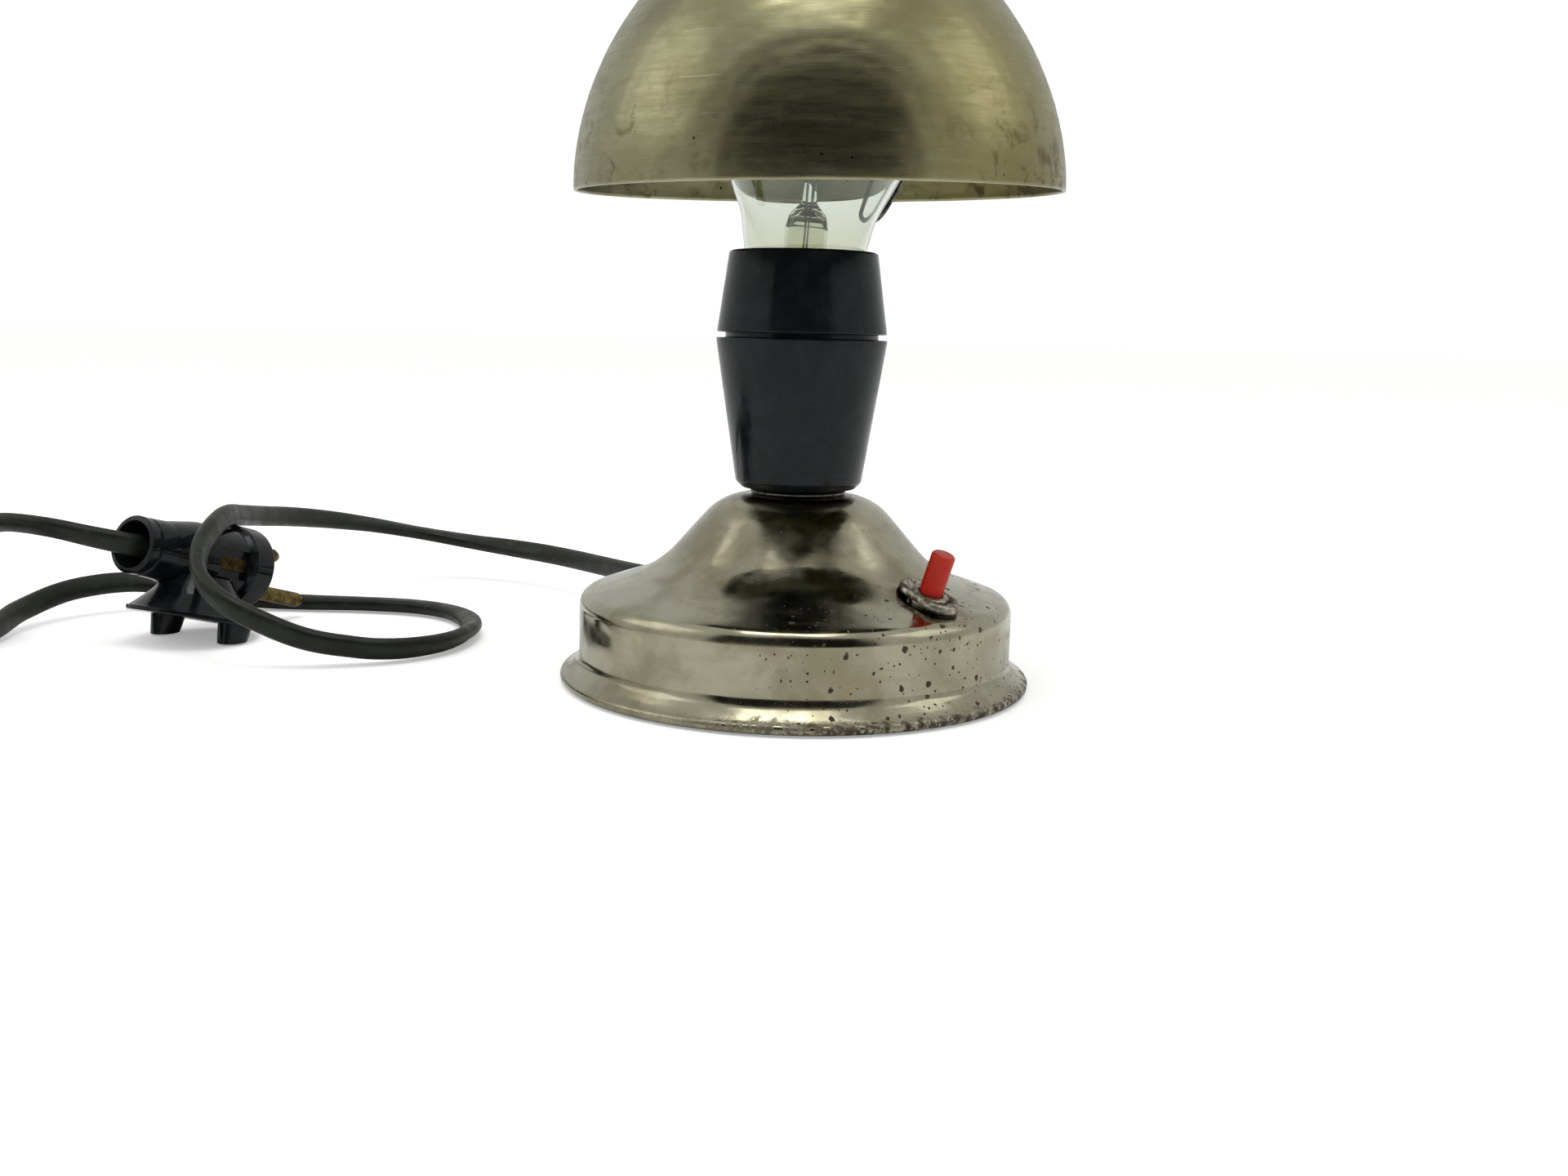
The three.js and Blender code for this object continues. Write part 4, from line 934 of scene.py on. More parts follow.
def switch_plate():
    count = 72
    circle = [(SWITCH_BORE * math.cos(2 * math.pi * (k + 0.5) / count),
               SWITCH_BORE * math.sin(2 * math.pi * (k + 0.5) / count)) for k in range(count)]
    levels = [(0.0, 0.0), (-0.15, 0.25), (-0.1, 0.8), (0.25, 1.5), (0.7, 1.85), (1.15, 1.9), (1.6, 1.6),
        (2.0, 1.1)]
    rings = []
    for inward, height in levels:
        ring = oblong(PLATE_LENGTH - 2 * inward, PLATE_WIDTH - 2 * inward, count)
        rings.append([(x, y, PLATE_FOOT + height) for x, y in ring])
    lip = oblong(PLATE_LENGTH - 5.0, PLATE_WIDTH - 5.0 + 4.2, count)
    rings.append([(0.5 * (x + cx), 0.5 * (y + cy), PLATE_FOOT + 0.85) for (x, y),
        (cx, cy) in zip(lip, circle)])
    rings.append([(x, y, PLATE_FOOT + 0.8) for x, y in circle])
    rings.append([(x, y, PLATE_FOOT) for x, y in circle])
    vertices = [v for ring in rings for v in ring]
    total = len(rings)
    faces = [[i * count + k, i * count + (k + 1) % count, (i + 1) % total * count + (k + 1) % count,
              (i + 1) % total * count + k] for i in range(total) for k in range(count)]
    return piece("switch_plate", vertices, faces, IN_SWITCH, 50)


plate = paint(switch_plate(), rusty_nickel)
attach(plate, "lamp")
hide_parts("switch_escutcheon")

# %% [markdown]
# ## The push button
# The button is a turned plastic plunger that slides in a threaded metal bushing. Both are round about the
# switch's own leaning axis, so both are turned in the switch's frame, and the button rides on its own body.

# %% Turn the button and its bushing
BUTTON_RADIUS, BUTTON_TOP, BUTTON_TAIL = 3.1, 13.6, -11.85
button = turned("push_button", rounded([(0, BUTTON_TAIL), (BUTTON_RADIUS, BUTTON_TAIL, 0.3), (BUTTON_RADIUS,
    BUTTON_TOP,
                0.8), (0, BUTTON_TOP)]), IN_SWITCH, 64)
paint(button, red_plastic)
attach(button, "button")
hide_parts("switch_button")
bushing_top = PLATE_FOOT + 1.8
bushing = turned("switch_bushing_tube", rounded([(3.4, -4.4), (4.8, -4.4), (4.8, bushing_top, 0.5),
                 (3.4, bushing_top)]), IN_SWITCH, 64)
paint(bushing, rusty_nickel)
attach(bushing, "lamp")
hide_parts("switch_bushing")

# %% [markdown]
# ## The lampholder
# Two mouldings screw together with an open joint between them. The lower one widens upwards from a small
# foot, and the upper one narrows to the bulb's neck. Both are turned here from the outlines of their
# moulds, with small radii where steel moulds always have them.

# %% Turn the lampholder
HOLDER_FOOT, HOLDER_TOP, SPIGOT_TOP = 52.7, 93.2, 100.8
lower_outline = rounded([
    (5.3, HOLDER_FOOT), (12.8, HOLDER_FOOT, 0.4), (15.6, HOLDER_FOOT + 0.5, 1.5),
    (17.2, HOLDER_FOOT + 2.2, 2),
    (23.1, HOLDER_TOP, 0.35), (20.6, HOLDER_TOP, 0.3), (20.6, SPIGOT_TOP, 0.4), (18.2, SPIGOT_TOP, 0.4),
    (18.2, HOLDER_TOP - 2, 2), (14.8, HOLDER_FOOT + 5, 1), (5.3, HOLDER_FOOT + 5)])
holder = paint(turned("lampholder_body", lower_outline, segments=160), phenolic)
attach(holder, "lamp")
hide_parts("holder_body")
SKIRT_FOOT, SKIRT_TOP = 94.6, 116.0
upper_outline = rounded([
    (20.9, SKIRT_FOOT), (22.9, SKIRT_FOOT, 0.4), (19.85, SKIRT_TOP, 0.8), (17.75, SKIRT_TOP, 0.6),
    (17.75, 103.0, 0.5), (20.9, 101.1)])
skirt = paint(turned("lampholder_skirt", upper_outline, segments=160), phenolic)
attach(skirt, "lamp")
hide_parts("holder_skirt")
washer = turned("neck_collar", rounded([(5.3, 51.7), (13, 51.7, 0.2), (13, 52.4, 0.2), (5.3, 52.4)]),
    segments=96)
paint(washer, spring_steel)
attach(washer, "lamp")
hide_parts("neck_washer")

# %% [markdown]
# ## The bulb
# The envelope is blown: a sphere runs by way of a cone into a narrow neck. Inside, a stem of pressed glass
# carries two lead-in wires and the filament. The stem is flared below, melted on to the neck, and pinched
# flat above.

# %% Turn the glass
GLOBE_RADIUS, GLOBE_RISE, GLASS_WALL = 30.0, 43.0, 0.9


def glass_outline():
    start = math.radians(-26)
    cone_top = (GLOBE_RADIUS * math.cos(start), GLOBE_RISE + GLOBE_RADIUS * math.sin(start))
    drop = 18.5
    cone_foot = (cone_top[0] - math.tan(-start) * drop, cone_top[1] - drop)
    neck = rounded([(10.9, -8.5), (10.9, -4.2, 1.5), (15.6, -1, 3), (16.6, 4, 8), (*cone_foot, 16),
        cone_top], 8)
    return neck[:-1] + arc(0, GLOBE_RISE, GLOBE_RADIUS, -26, 90, 40)


outer_glass = glass_outline()
inner_glass = inset(outer_glass, -GLASS_WALL)[::-1]
outer_glass[-1].x = inner_glass[0].x = 0
envelope = paint(turned("glass_envelope", outer_glass + inner_glass, IN_GLASS, 128), soda_glass)
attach(envelope, "bulb")
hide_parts("bulb_glass")
stem_outline = rounded([
    (0, 25), (1.7, 25, 0.6), (1.6, 20, 3), (2.0, 15, 3), (4.9, 11.8, 2), (5.7, 8.5, 2), (5.7, -8), (4.9, -8),
    (4.9, 8.2, 2), (4.2, 10.8, 1.6), (0.6, 12.6), (0, 12.6)])
stem = paint(turned("glass_stem_flare", stem_outline, IN_GLASS, 64), soda_glass)
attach(stem, "bulb")
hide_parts("glass_stem")

# %% [markdown]
# ## The spring and the filament
# The return spring under the button is wound by a rule, so much rise for each turn, and Geometry Nodes follow
# that rule in a tree with named sizes. In the lamp it gets shorter as the button goes in. The lead-in wires
# and the filament's waves go through a few points each, so they are swept instead.

# %% Wind the filament and bend its wires


def geometry_tree(name, sizes):
    """An empty Geometry Nodes tree with named inputs and a geometry output."""
    tree = bpy.data.node_groups.new(name, "GeometryNodeTree")
    for label, kind in sizes.items():
        tree.interface.new_socket(label, in_out="INPUT", socket_type=kind)
    tree.interface.new_socket("Geometry", in_out="OUTPUT", socket_type="NodeSocketGeometry")
    return tree, tree.nodes.new("NodeGroupInput"), tree.nodes.new("NodeGroupOutput")


def grown(name, tree, values, placed=UPRIGHT, sharp=32.0, after=None):
    """Runs the tree on an empty mesh with these values, and returns the result as a plain mesh object."""
    host = bpy.data.objects.new(name + "_host", bpy.data.meshes.new(name + "_host"))
    bpy.context.scene.collection.objects.link(host)
    modifier = host.modifiers.new("tree", "NODES")
    modifier.node_group = tree
    identifiers = {item.name: item.identifier for item in tree.interface.items_tree if item.in_out == "INPUT"}
    for label, value in values.items():
        modifier[identifiers[label]] = value
    if after:
        after(host)
    graph = bpy.context.evaluated_depsgraph_get()
    mesh = bpy.data.meshes.new_from_object(host.evaluated_get(graph))
    mesh.name = name
    bpy.data.objects.remove(host)
    mesh.transform(Matrix.Scale(MM, 4) @ placed)
    return finished(name, mesh, sharp)


def winding_tree():
    """A helix of wire: a spiral curve with a round section."""
    tree, given, result = geometry_tree("wire_winding", {
        "Turns": "NodeSocketFloat", "Radius": "NodeSocketFloat", "Length": "NodeSocketFloat",
        "Wire Radius": "NodeSocketFloat", "Finish": "NodeSocketMaterial"})
    spiral = add(tree, "GeometryNodeCurveSpiral", {
        "Resolution": 24, "Rotations": given.outputs["Turns"], "Start Radius": given.outputs["Radius"],
        "End Radius": given.outputs["Radius"], "Height": given.outputs["Length"]})
    section = add(tree, "GeometryNodeCurvePrimitiveCircle",
        {"Resolution": 8, "Radius": given.outputs["Wire Radius"]})
    wire = add(tree, "GeometryNodeCurveToMesh", {"Curve": spiral.outputs[0],
        "Profile Curve": section.outputs[0],
                                                 "Fill Caps": True})
    smooth = add(tree, "GeometryNodeSetShadeSmooth", {"Geometry": wire.outputs[0]})
    real = add(tree, "GeometryNodeRealizeInstances", {"Geometry": smooth.outputs[0]})
    painted = add(tree, "GeometryNodeSetMaterial",
        {"Geometry": real.outputs[0], "Material": given.outputs["Finish"]})
    tree.links.new(painted.outputs[0], result.inputs[0])
    return tree


winding = winding_tree()
SPRING_FOOT, SPRING_LENGTH = -18.95, 6.8
spring = grown("return_spring", winding, {"Turns": 4.0, "Radius": 2.2, "Length": SPRING_LENGTH - 0.6,
               "Wire Radius": 0.3, "Finish": spring_steel},
               IN_SWITCH @ Matrix.Translation((0, 0, SPRING_FOOT + 0.3)))
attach(spring, "lamp")
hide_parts("switch_spring")
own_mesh(spring)
STEM_TOP = 25.0
FILAMENT_HEIGHT = STEM_TOP + 20
for side, name in ((-1, "left"), (1, "right")):
    bends = [(side * 0.5, side * 0.8, -7), (side * 0.4, side * 0.6, 9), (side * 0.5, side * 0.2, 14),
             (side * 0.9, 0, STEM_TOP), (side * 2.5, 0, STEM_TOP + 5), (side * 9.5, 0, STEM_TOP + 16),
             (side * 11, 0, STEM_TOP + 20)]
    wire = swept("lead_in_wire_" + name, smooth_path(bends, 0.8), ring_section(0.27, 10), placed=IN_GLASS)
    paint(wire, zinc_plate)
    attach(wire, "bulb")
    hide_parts("lead_wire_" + name)
filament_points = [(x, -5 * math.cos(x / 7), FILAMENT_HEIGHT + i % 2)
                   for i, x in enumerate((-10.2, -6.4, -3.2, 0, 3.2, 6.4, 10.2))]
filament = swept("filament_wire", smooth_path(filament_points, 0.6), ring_section(0.35, 10), placed=IN_GLASS)
paint(filament, tungsten)
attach(filament, "bulb")
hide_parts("filament")
print("filament faces", len(filament.data.polygons), "spring faces", len(spring.data.polygons))

# %% [markdown]
# ## The shade
# The dome follows a rule: at each height its radius is that of a half ellipse, made a little fuller.
# Geometry Nodes is the natural tool for that. A flat grid is bent round into the dome, with one side of the
# grid as the turn and the other as the climb, and a little noise gives it the unevenness of hand spinning.
# Solidify then adds the sheet's thickness and puts the second material inside.

# %% Grow the dome by its rule
DOME = {"Radius": 64.6, "Height": 72.0, "Fullness": 1.075, "Drop": RIM_DROP}
STUD_HOLE = 2.3


def dome_tree():
    tree, given, result = geometry_tree("spun_dome", {
        "Radius": "NodeSocketFloat", "Height": "NodeSocketFloat", "Fullness": "NodeSocketFloat",
        "Drop": "NodeSocketFloat", "Climb": "NodeSocketFloat", "Unevenness": "NodeSocketFloat",
        "Finish": "NodeSocketMaterial"})
    grid = add(tree, "GeometryNodeMeshGrid", {"Size X": 1.0, "Size Y": 1.0, "Vertices X": 221,
        "Vertices Y": 90})
    place = add(tree, "ShaderNodeSeparateXYZ", {0: add(tree, "GeometryNodeInputPosition").outputs[0]})
    turn = number(tree, "MULTIPLY", place.outputs[0], 2 * math.pi)
    climb = number(tree, "MULTIPLY", number(tree, "ADD", place.outputs[1], 0.5), given.outputs["Climb"])
    out = number(tree, "POWER", number(tree, "COSINE", climb), given.outputs["Fullness"])
    up = number(tree, "POWER", number(tree, "SINE", climb), given.outputs["Fullness"])
    radius = number(tree, "MULTIPLY", out, given.outputs["Radius"])
    height = number(tree, "SUBTRACT", number(tree, "MULTIPLY", up, given.outputs["Height"]),
        given.outputs["Drop"])
    bent = add(tree, "ShaderNodeCombineXYZ", {
        0: number(tree, "MULTIPLY", radius, number(tree, "COSINE", turn)),
        1: number(tree, "MULTIPLY", radius, number(tree, "SINE", turn)), 2: height})
    dome = add(tree, "GeometryNodeSetPosition", {"Geometry": grid.outputs["Mesh"],
        "Position": bent.outputs[0]})
    joined = add(tree, "GeometryNodeMergeByDistance", {"Geometry": dome.outputs[0], "Distance": 0.01})
    lumps = add(tree, "ShaderNodeTexNoise", {"Vector": bent.outputs[0], "Scale": 1 / 38, "Detail": 1.0})
    swell = number(tree, "MULTIPLY", number(tree, "SUBTRACT", lumps.outputs["Fac"], 0.5),
        given.outputs["Unevenness"])
    outward = add(tree, "ShaderNodeVectorMath", {0: add(tree, "GeometryNodeInputNormal").outputs[0],
        "Scale": swell},
                  operation="SCALE")
    uneven = add(tree, "GeometryNodeSetPosition", {"Geometry": joined.outputs[0],
        "Offset": outward.outputs[0]})
    smooth = add(tree, "GeometryNodeSetShadeSmooth", {"Geometry": uneven.outputs[0]})
    real = add(tree, "GeometryNodeRealizeInstances", {"Geometry": smooth.outputs[0]})
    painted = add(tree, "GeometryNodeSetMaterial",
        {"Geometry": real.outputs[0], "Material": given.outputs["Finish"]})
    tree.links.new(painted.outputs[0], result.inputs[0])
    return tree


def thicken(host):
    wall = host.modifiers.new("wall", "SOLIDIFY")
    wall.thickness = 0.8
    wall.offset = -1.0
    wall.material_offset = 1
    wall.material_offset_rim = 0
    wall.use_even_offset = True
    edge = host.modifiers.new("edge", "BEVEL")
    edge.width = 0.22
    edge.segments = 2
    edge.limit_method = "ANGLE"
    edge.angle_limit = math.radians(60)


climb_end = math.acos((STUD_HOLE / DOME["Radius"]) ** (1 / DOME["Fullness"]))
dome = grown("spun_dome", dome_tree(), {**DOME, "Climb": climb_end, "Unevenness": 0.5,
    "Finish": satin_nickel},
             IN_SHADE, 40, thicken)
if len(dome.data.materials) < 2:
    dome.data.materials.append(raw_shaded_inside)
    inner = [p.index for p in dome.data.polygons
             if p.normal.dot(p.center - globe_centre * MM - IN_SHADE.to_3x3().col[2] * -RIM_DROP * MM) < 0]
    for index in inner:
        dome.data.polygons[index].material_index = 1
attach(dome, "shade")
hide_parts("shade_dome")
print("dome faces", len(dome.data.polygons), "volume mm3", round(signed_volume(dome.data) / MM ** 3))

# %% [markdown]
# ## The clip
# Two loops of spring wire reach down and grip the globe: a long one that shows under the rim, and a short
# one on the far side. They meet under a small plate, and a stud goes up through the top of the dome to a
# domed nut.

# %% Bend the clip's loops
WIRE_RADIUS = 0.7
wire_clear = GLOBE_RADIUS + WIRE_RADIUS + 0.5


def loop_path(lower):
    leg = [(5, 2.5, wire_clear + 0.1), (12.5, 4, wire_clear * 0.915), (22, 6, 21.6), (28.6, 6.8, 11),
           (wire_clear - 0.6, 7, 0.5), *lower]
    return leg + [(a, -b, z) for a, b, z in leg[:-1][::-1]]


LONG_LOOP = [(29.6, 6.6, -9), (26.5, 5.6, -18.3), (22.5, 4.6, -26), (19.4, 3.2, -31), (18.7, 0, -32.6)]
SHORT_LOOP = [(29.7, 6.6, -8), (28.6, 4.2, -13.2), (28.2, 0, -15.2)]
for name, lower, turn in (("long", LONG_LOOP, 0), ("short", SHORT_LOOP, 180)):
    placed = IN_CLIP @ Matrix.Rotation(math.radians(turn), 4, "Z")
    loop = swept("clip_wire_" + name, smooth_path(loop_path(lower), 0.9), ring_section(WIRE_RADIUS, 14),
        placed=placed)
    paint(loop, spring_steel)
    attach(loop, "clip")
    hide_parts("clip_loop_" + name)

# %% [markdown]
# ## The fastening at the top
# A stud stands on the clip's plate, and a spacer, a washer and a domed nut hold the dome on it. Their
# heights are worked out from the clip's plate and from the top of the dome, so the stack stays closed up.

# %% Turn the small pieces at the top
DOME_TOP = DOME["Height"] - RIM_DROP
plate_foot = wire_clear + WIRE_RADIUS + 2 * GAP
plate_top = plate_foot + 1.2
small_turnings = {
    "clip_disc": ("clip_plate", "clip", zinc_plate, "plated_steel",
                  [(0, plate_foot), (8.5, plate_foot, 0.3), (8.5, plate_top, 0.3), (0, plate_top)]),
    "threaded_stud": ("clip_stud", "clip", zinc_plate, "plated_steel",
                      [(0, plate_top + GAP), (2, plate_top + GAP, 0.2), (2, DOME_TOP + 5, 0.4),
                      (0, DOME_TOP + 5)]),
    "brass_spacer": ("clip_spacer", "clip", dull_brass, "brass",
                     [(2.3, plate_top + GAP), (3.6, plate_top + GAP, 0.2), (3.6, DOME_TOP - 1.8, 0.2),
                      (2.3, DOME_TOP - 1.8)]),
    "flat_washer": ("shade_washer", "shade", rusty_nickel, "bright_nickel",
                    [(2.3, DOME_TOP + GAP), (6, DOME_TOP + GAP, 0.2), (6, DOME_TOP + 1.2, 0.4),
                    (2.3, DOME_TOP + 1.2)]),
}
for name, (node_name, body, look, slot_name, corners) in small_turnings.items():
    small = paint(turned(name, rounded(corners), IN_SHADE, 64), look)
    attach(small, body)
    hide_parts(node_name)
nut_outline = [(2.3, DOME_TOP + 1.5), (4.4, DOME_TOP + 1.5), *arc(0, DOME_TOP + 4.6, 4.6, -20, 90, 14),
               (0, DOME_TOP + 5.3), (2.3, DOME_TOP + 5.3)]
nut = paint(turned("domed_nut", nut_outline, IN_SHADE, 64), rusty_nickel)
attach(nut, "shade")
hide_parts("shade_nut")

# %% [markdown]
# ## The plug
# The plug is two phenolic shells that meet in a level seam. The round collar takes the lead, the disc at
# the far end carries the pins, and the lower shell spreads into a skirt with two feet. The whole body is
# turned once, cut where the seam, the pins and the earth strips go, and its edges are then softened with a
# bevel.

# %% Turn and cut the plug
PLUG_LENGTH, FACE_RADIUS, COLLAR_RADIUS, BODY_RADIUS = 44.5, 12.8, 8.6, 10.8
PIN_RADIUS, PIN_LENGTH, PIN_ROOT, PIN_SPACING, PIN_ROLL = 2.35, 19.0, 7.5, 18.8, math.radians(45)
SKIRT_CENTRE, SKIRT_RIM = (22, -6), 19.0


def softened(made, width):
    """Bevels the sharp edges and returns the piece as a plain mesh."""
    edge = made.modifiers.new("edge", "BEVEL")
    edge.width = width * MM
    edge.segments = 2
    edge.limit_method = "ANGLE"
    edge.angle_limit = math.radians(35)
    edge.harden_normals = False
    graph = bpy.context.evaluated_depsgraph_get()
    mesh = bpy.data.meshes.new_from_object(made.evaluated_get(graph))
    name = made.name
    bpy.data.objects.remove(made)
    mesh.name = name
    return finished(name, mesh, 40)


def pin_place(side):
    return (PLUG_LENGTH, side * PIN_SPACING / 2 * math.sin(PIN_ROLL),
        side * PIN_SPACING / 2 * math.cos(PIN_ROLL))


def pin_frame(side):
    return IN_PLUG @ Matrix.Translation(pin_place(side)) @ Matrix.Rotation(math.radians(90), 4, "Y")


def plug_whole(name):
    outside = rounded([(COLLAR_RADIUS - 1.5, 0), (COLLAR_RADIUS, 0.3, 0.3), (COLLAR_RADIUS, 2.6, 0.2),
                       (COLLAR_RADIUS - 0.6, 2.9, 0.2), (COLLAR_RADIUS - 0.6, 3.6, 0.2),
                       (COLLAR_RADIUS, 3.9, 0.2),
                       (COLLAR_RADIUS + 0.3, 10, 6), (BODY_RADIUS, 21, 8), (BODY_RADIUS + 0.5, 35, 0.5),
                       (FACE_RADIUS - 0.4, 36, 0.3), (FACE_RADIUS, 37, 0.6),
                       (FACE_RADIUS, PLUG_LENGTH - 0.8, 0.6),
                       (FACE_RADIUS - 0.8, PLUG_LENGTH, 0.5), (0, PLUG_LENGTH)])
    inside = [(0, PLUG_LENGTH - 5), (BODY_RADIUS - 1.9, PLUG_LENGTH - 5), (BODY_RADIUS - 1.9, 21),
        (6.0, 14), (6.2, 2)]
    body = turned(name, outside + inside, ALONG_PLUG, 96)
    recesses = [block("recess", (24, side * 9.2 - 3 + side * 3, -4.5),
        (35.2, side * 9.2 + 3 + side * 3, 4.5), IN_PLUG)
                for side in (-1, 1)]
    bores = [turned("pin_bore", [(0, -PIN_ROOT - GAP), (PIN_RADIUS + GAP, -PIN_ROOT - GAP),
        (PIN_RADIUS + GAP, 5),
                                 (0, 5)], pin_frame(side), 32) for side in (-1, 1)]
    return with_cuts(name, body, recesses + bores)


def half(name, side):
    other = block("other_half", (-60, -60, GAP / 2 if side < 0 else -60),
        (120, 60, 60 if side < 0 else -GAP / 2),
                  IN_PLUG)
    return with_cuts(name, plug_whole(name + "_whole"), [other])


upper_shell = softened(half("plug_shell_upper", 1), 0.25)
paint(upper_shell, plug_phenolic)
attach(upper_shell, "lamp")
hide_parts("plug_upper_shell")

# %% [markdown]
# ## The lower shell's skirt and feet
# The lower half of the plug carries a flared skirt and two tapered feet on which it rests. A Boolean union
# would be the usual way, but it can drop faces where such shapes nearly touch, so the closed shells overlap
# in one mesh.

# %% Add the skirt and feet to the lower shell


def joined(name, parts, look):
    """Several closed shells in one mesh: a moulding whose shells overlap, as its solid parts do."""
    joint = bmesh.new()
    for part in parts:
        joint.from_mesh(part.data)
        bpy.data.objects.remove(part)
    mesh = bpy.data.meshes.new(name)
    joint.to_mesh(mesh)
    joint.free()
    return paint(finished(name, mesh, 40), look)


def above_table():
    return block("table", (-300, -100, -40), (-100, 120, 0.25))


def skirt_shape():
    skirt_frame = IN_PLUG @ Matrix.Translation((*SKIRT_CENTRE, 0))
    flare = turned("skirt", rounded([(0, -5.5), (9, -5.5), (12.5, -11, 14), (SKIRT_RIM - 0.8, -16.9, 0.6),
                                     (SKIRT_RIM, -17.0, 0.3), (SKIRT_RIM, -18.4, 0.4), (0, -18.4)]),
                                     skirt_frame, 96)
    throat = turned("throat", [(0, 2), (BODY_RADIUS - 1.2, 2), (BODY_RADIUS - 1.2, 40), (0, 40)],
        ALONG_PLUG, 48)
    return with_cuts("skirt", flare, [throat, above_table()])


def foot_shape(side):
    foot = turned("foot", rounded([(0, -26.2), (3.7, -26.2, 0.6), (5, -17.8), (0, -17.8)]),
                  IN_PLUG @ Matrix.Translation((25, SKIRT_CENTRE[1] + side * 13.8, 0)), 40)
    return with_cuts("foot", foot, [above_table()])


lower_half = softened(half("plug_shell_lower_half", -1), 0.25)
lower_shell = joined("plug_shell_lower", [lower_half, skirt_shape(), foot_shape(-1), foot_shape(1)],
    plug_phenolic)
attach(lower_shell, "lamp")
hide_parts("plug_lower_shell")
print("plug faces", len(upper_shell.data.polygons), len(lower_shell.data.polygons))

# %% [markdown]
# ## Pins and earth strips
# The pins are turned brass with rounded tips. The earth strips are sheet brass, and only the flat stretch
# that shows in the plug's side is made, as a thin block with softened edges. Each is a piece of its own,
# placed in the plug's frame.

# %% Turn the pins and cut the earth strips
for side, name in ((1, "plug_pin_1"), (-1, "plug_pin_2")):
    outline = rounded([(0, -PIN_ROOT), (PIN_RADIUS, -PIN_ROOT, 0.2), (PIN_RADIUS, PIN_LENGTH - 1.8, 1.5),
                       (PIN_RADIUS - 0.9, PIN_LENGTH, 0.7), (0, PIN_LENGTH)])
    pin = paint(turned(name + "_turned", outline, pin_frame(side), 48), dull_brass)
    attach(pin, "lamp")
    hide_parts(name)
for side, name in ((-1, "plug_earth_strip_1"), (1, "plug_earth_strip_2")):
    middle = side * (BODY_RADIUS - 1.6 + GAP + 0.4)
    strip = softened(block(name + "_bent", (24.5, middle - 0.4, -2), (34.7, middle + 0.4, 2), IN_PLUG), 0.2)
    paint(strip, brown_brass)
    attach(strip, "lamp")
    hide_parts(name)

# %% [markdown]
# ## The strain relief and the tie
# A rubber sleeve guides the lead out of the base. It tapers, and rings moulded round it let it bend. The
# rings repeat, so Geometry Nodes places them: one ring is instanced on points along a line, each scaled to
# the taper.

# %% Mould the strain relief
RELIEF_LENGTH = 23.5


def ring_tree():
    tree, given, result = geometry_tree("relief_rings", {
        "Count": "NodeSocketInt", "Start": "NodeSocketFloat", "End": "NodeSocketFloat",
        "Start Radius": "NodeSocketFloat", "End Radius": "NodeSocketFloat", "Thickness": "NodeSocketFloat",
        "Finish": "NodeSocketMaterial"})
    start = add(tree, "ShaderNodeCombineXYZ", {2: given.outputs["Start"]})
    end = add(tree, "ShaderNodeCombineXYZ", {2: given.outputs["End"]})
    points = add(tree, "GeometryNodeMeshLine", {"Count": given.outputs["Count"],
        "Start Location": start.outputs[0],
                                                "Offset": end.outputs[0]}, mode="END_POINTS")
    hoop = add(tree, "GeometryNodeCurvePrimitiveCircle", {"Resolution": 40, "Radius": 1.0})
    section = add(tree, "GeometryNodeCurvePrimitiveCircle",
        {"Resolution": 8, "Radius": given.outputs["Thickness"]})
    ring = add(tree, "GeometryNodeCurveToMesh", {"Curve": hoop.outputs[0],
        "Profile Curve": section.outputs[0]})
    height = add(tree, "ShaderNodeSeparateXYZ", {0: add(tree,
        "GeometryNodeInputPosition").outputs[0]}).outputs[2]
    size = add(tree, "ShaderNodeMapRange", {
        "Value": height, "From Min": given.outputs["Start"], "From Max": given.outputs["End"],
        "To Min": given.outputs["Start Radius"], "To Max": given.outputs["End Radius"]}).outputs["Result"]
    scale = add(tree, "ShaderNodeCombineXYZ", {0: size, 1: size, 2: size})
    placed = add(tree, "GeometryNodeInstanceOnPoints",
        {"Points": points.outputs[0], "Instance": ring.outputs[0],
                                                        "Scale": scale.outputs[0]})
    real = add(tree, "GeometryNodeRealizeInstances", {"Geometry": placed.outputs[0]})
    smooth = add(tree, "GeometryNodeSetShadeSmooth", {"Geometry": real.outputs[0]})
    painted = add(tree, "GeometryNodeSetMaterial",
        {"Geometry": smooth.outputs[0], "Material": given.outputs["Finish"]})
    tree.links.new(painted.outputs[0], result.inputs[0])
    return tree


relief_outline = rounded([
    (5.9, -5.3), (5.9, -2.5), (4.5, -2.4), (4.5, 1.0), (6.1, 1.0, 0.3), (5.9, 3.2, 0.5),
    (4.75, RELIEF_LENGTH, 0.4),
    (4.0, RELIEF_LENGTH), (4.0, -5.3)])
relief = paint(turned("strain_relief", relief_outline, IN_EXIT, 64), gland_rubber)
rings = grown("strain_relief_rings", ring_tree(), {
    "Count": 8, "Start": 5.5, "End": RELIEF_LENGTH - 1.6, "Start Radius": 5.6, "End Radius": 4.65,
    "Thickness": 0.09,
    "Finish": gland_rubber}, IN_EXIT)
for part in (relief, rings):
    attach(part, "lamp")
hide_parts("cord_gland")
print("relief rings", len(rings.data.polygons))

# %% [markdown]
# ## The tie
# A band holds the spare turns together. It is a flat strip bent into a rounded oblong, whose size comes
# from the lead's own width and thickness and a small clearance.

# %% Wrap the tie
TIE_PLACE = (COIL_CENTRE[0] - COIL_RADIUS, COIL_CENTRE[1])


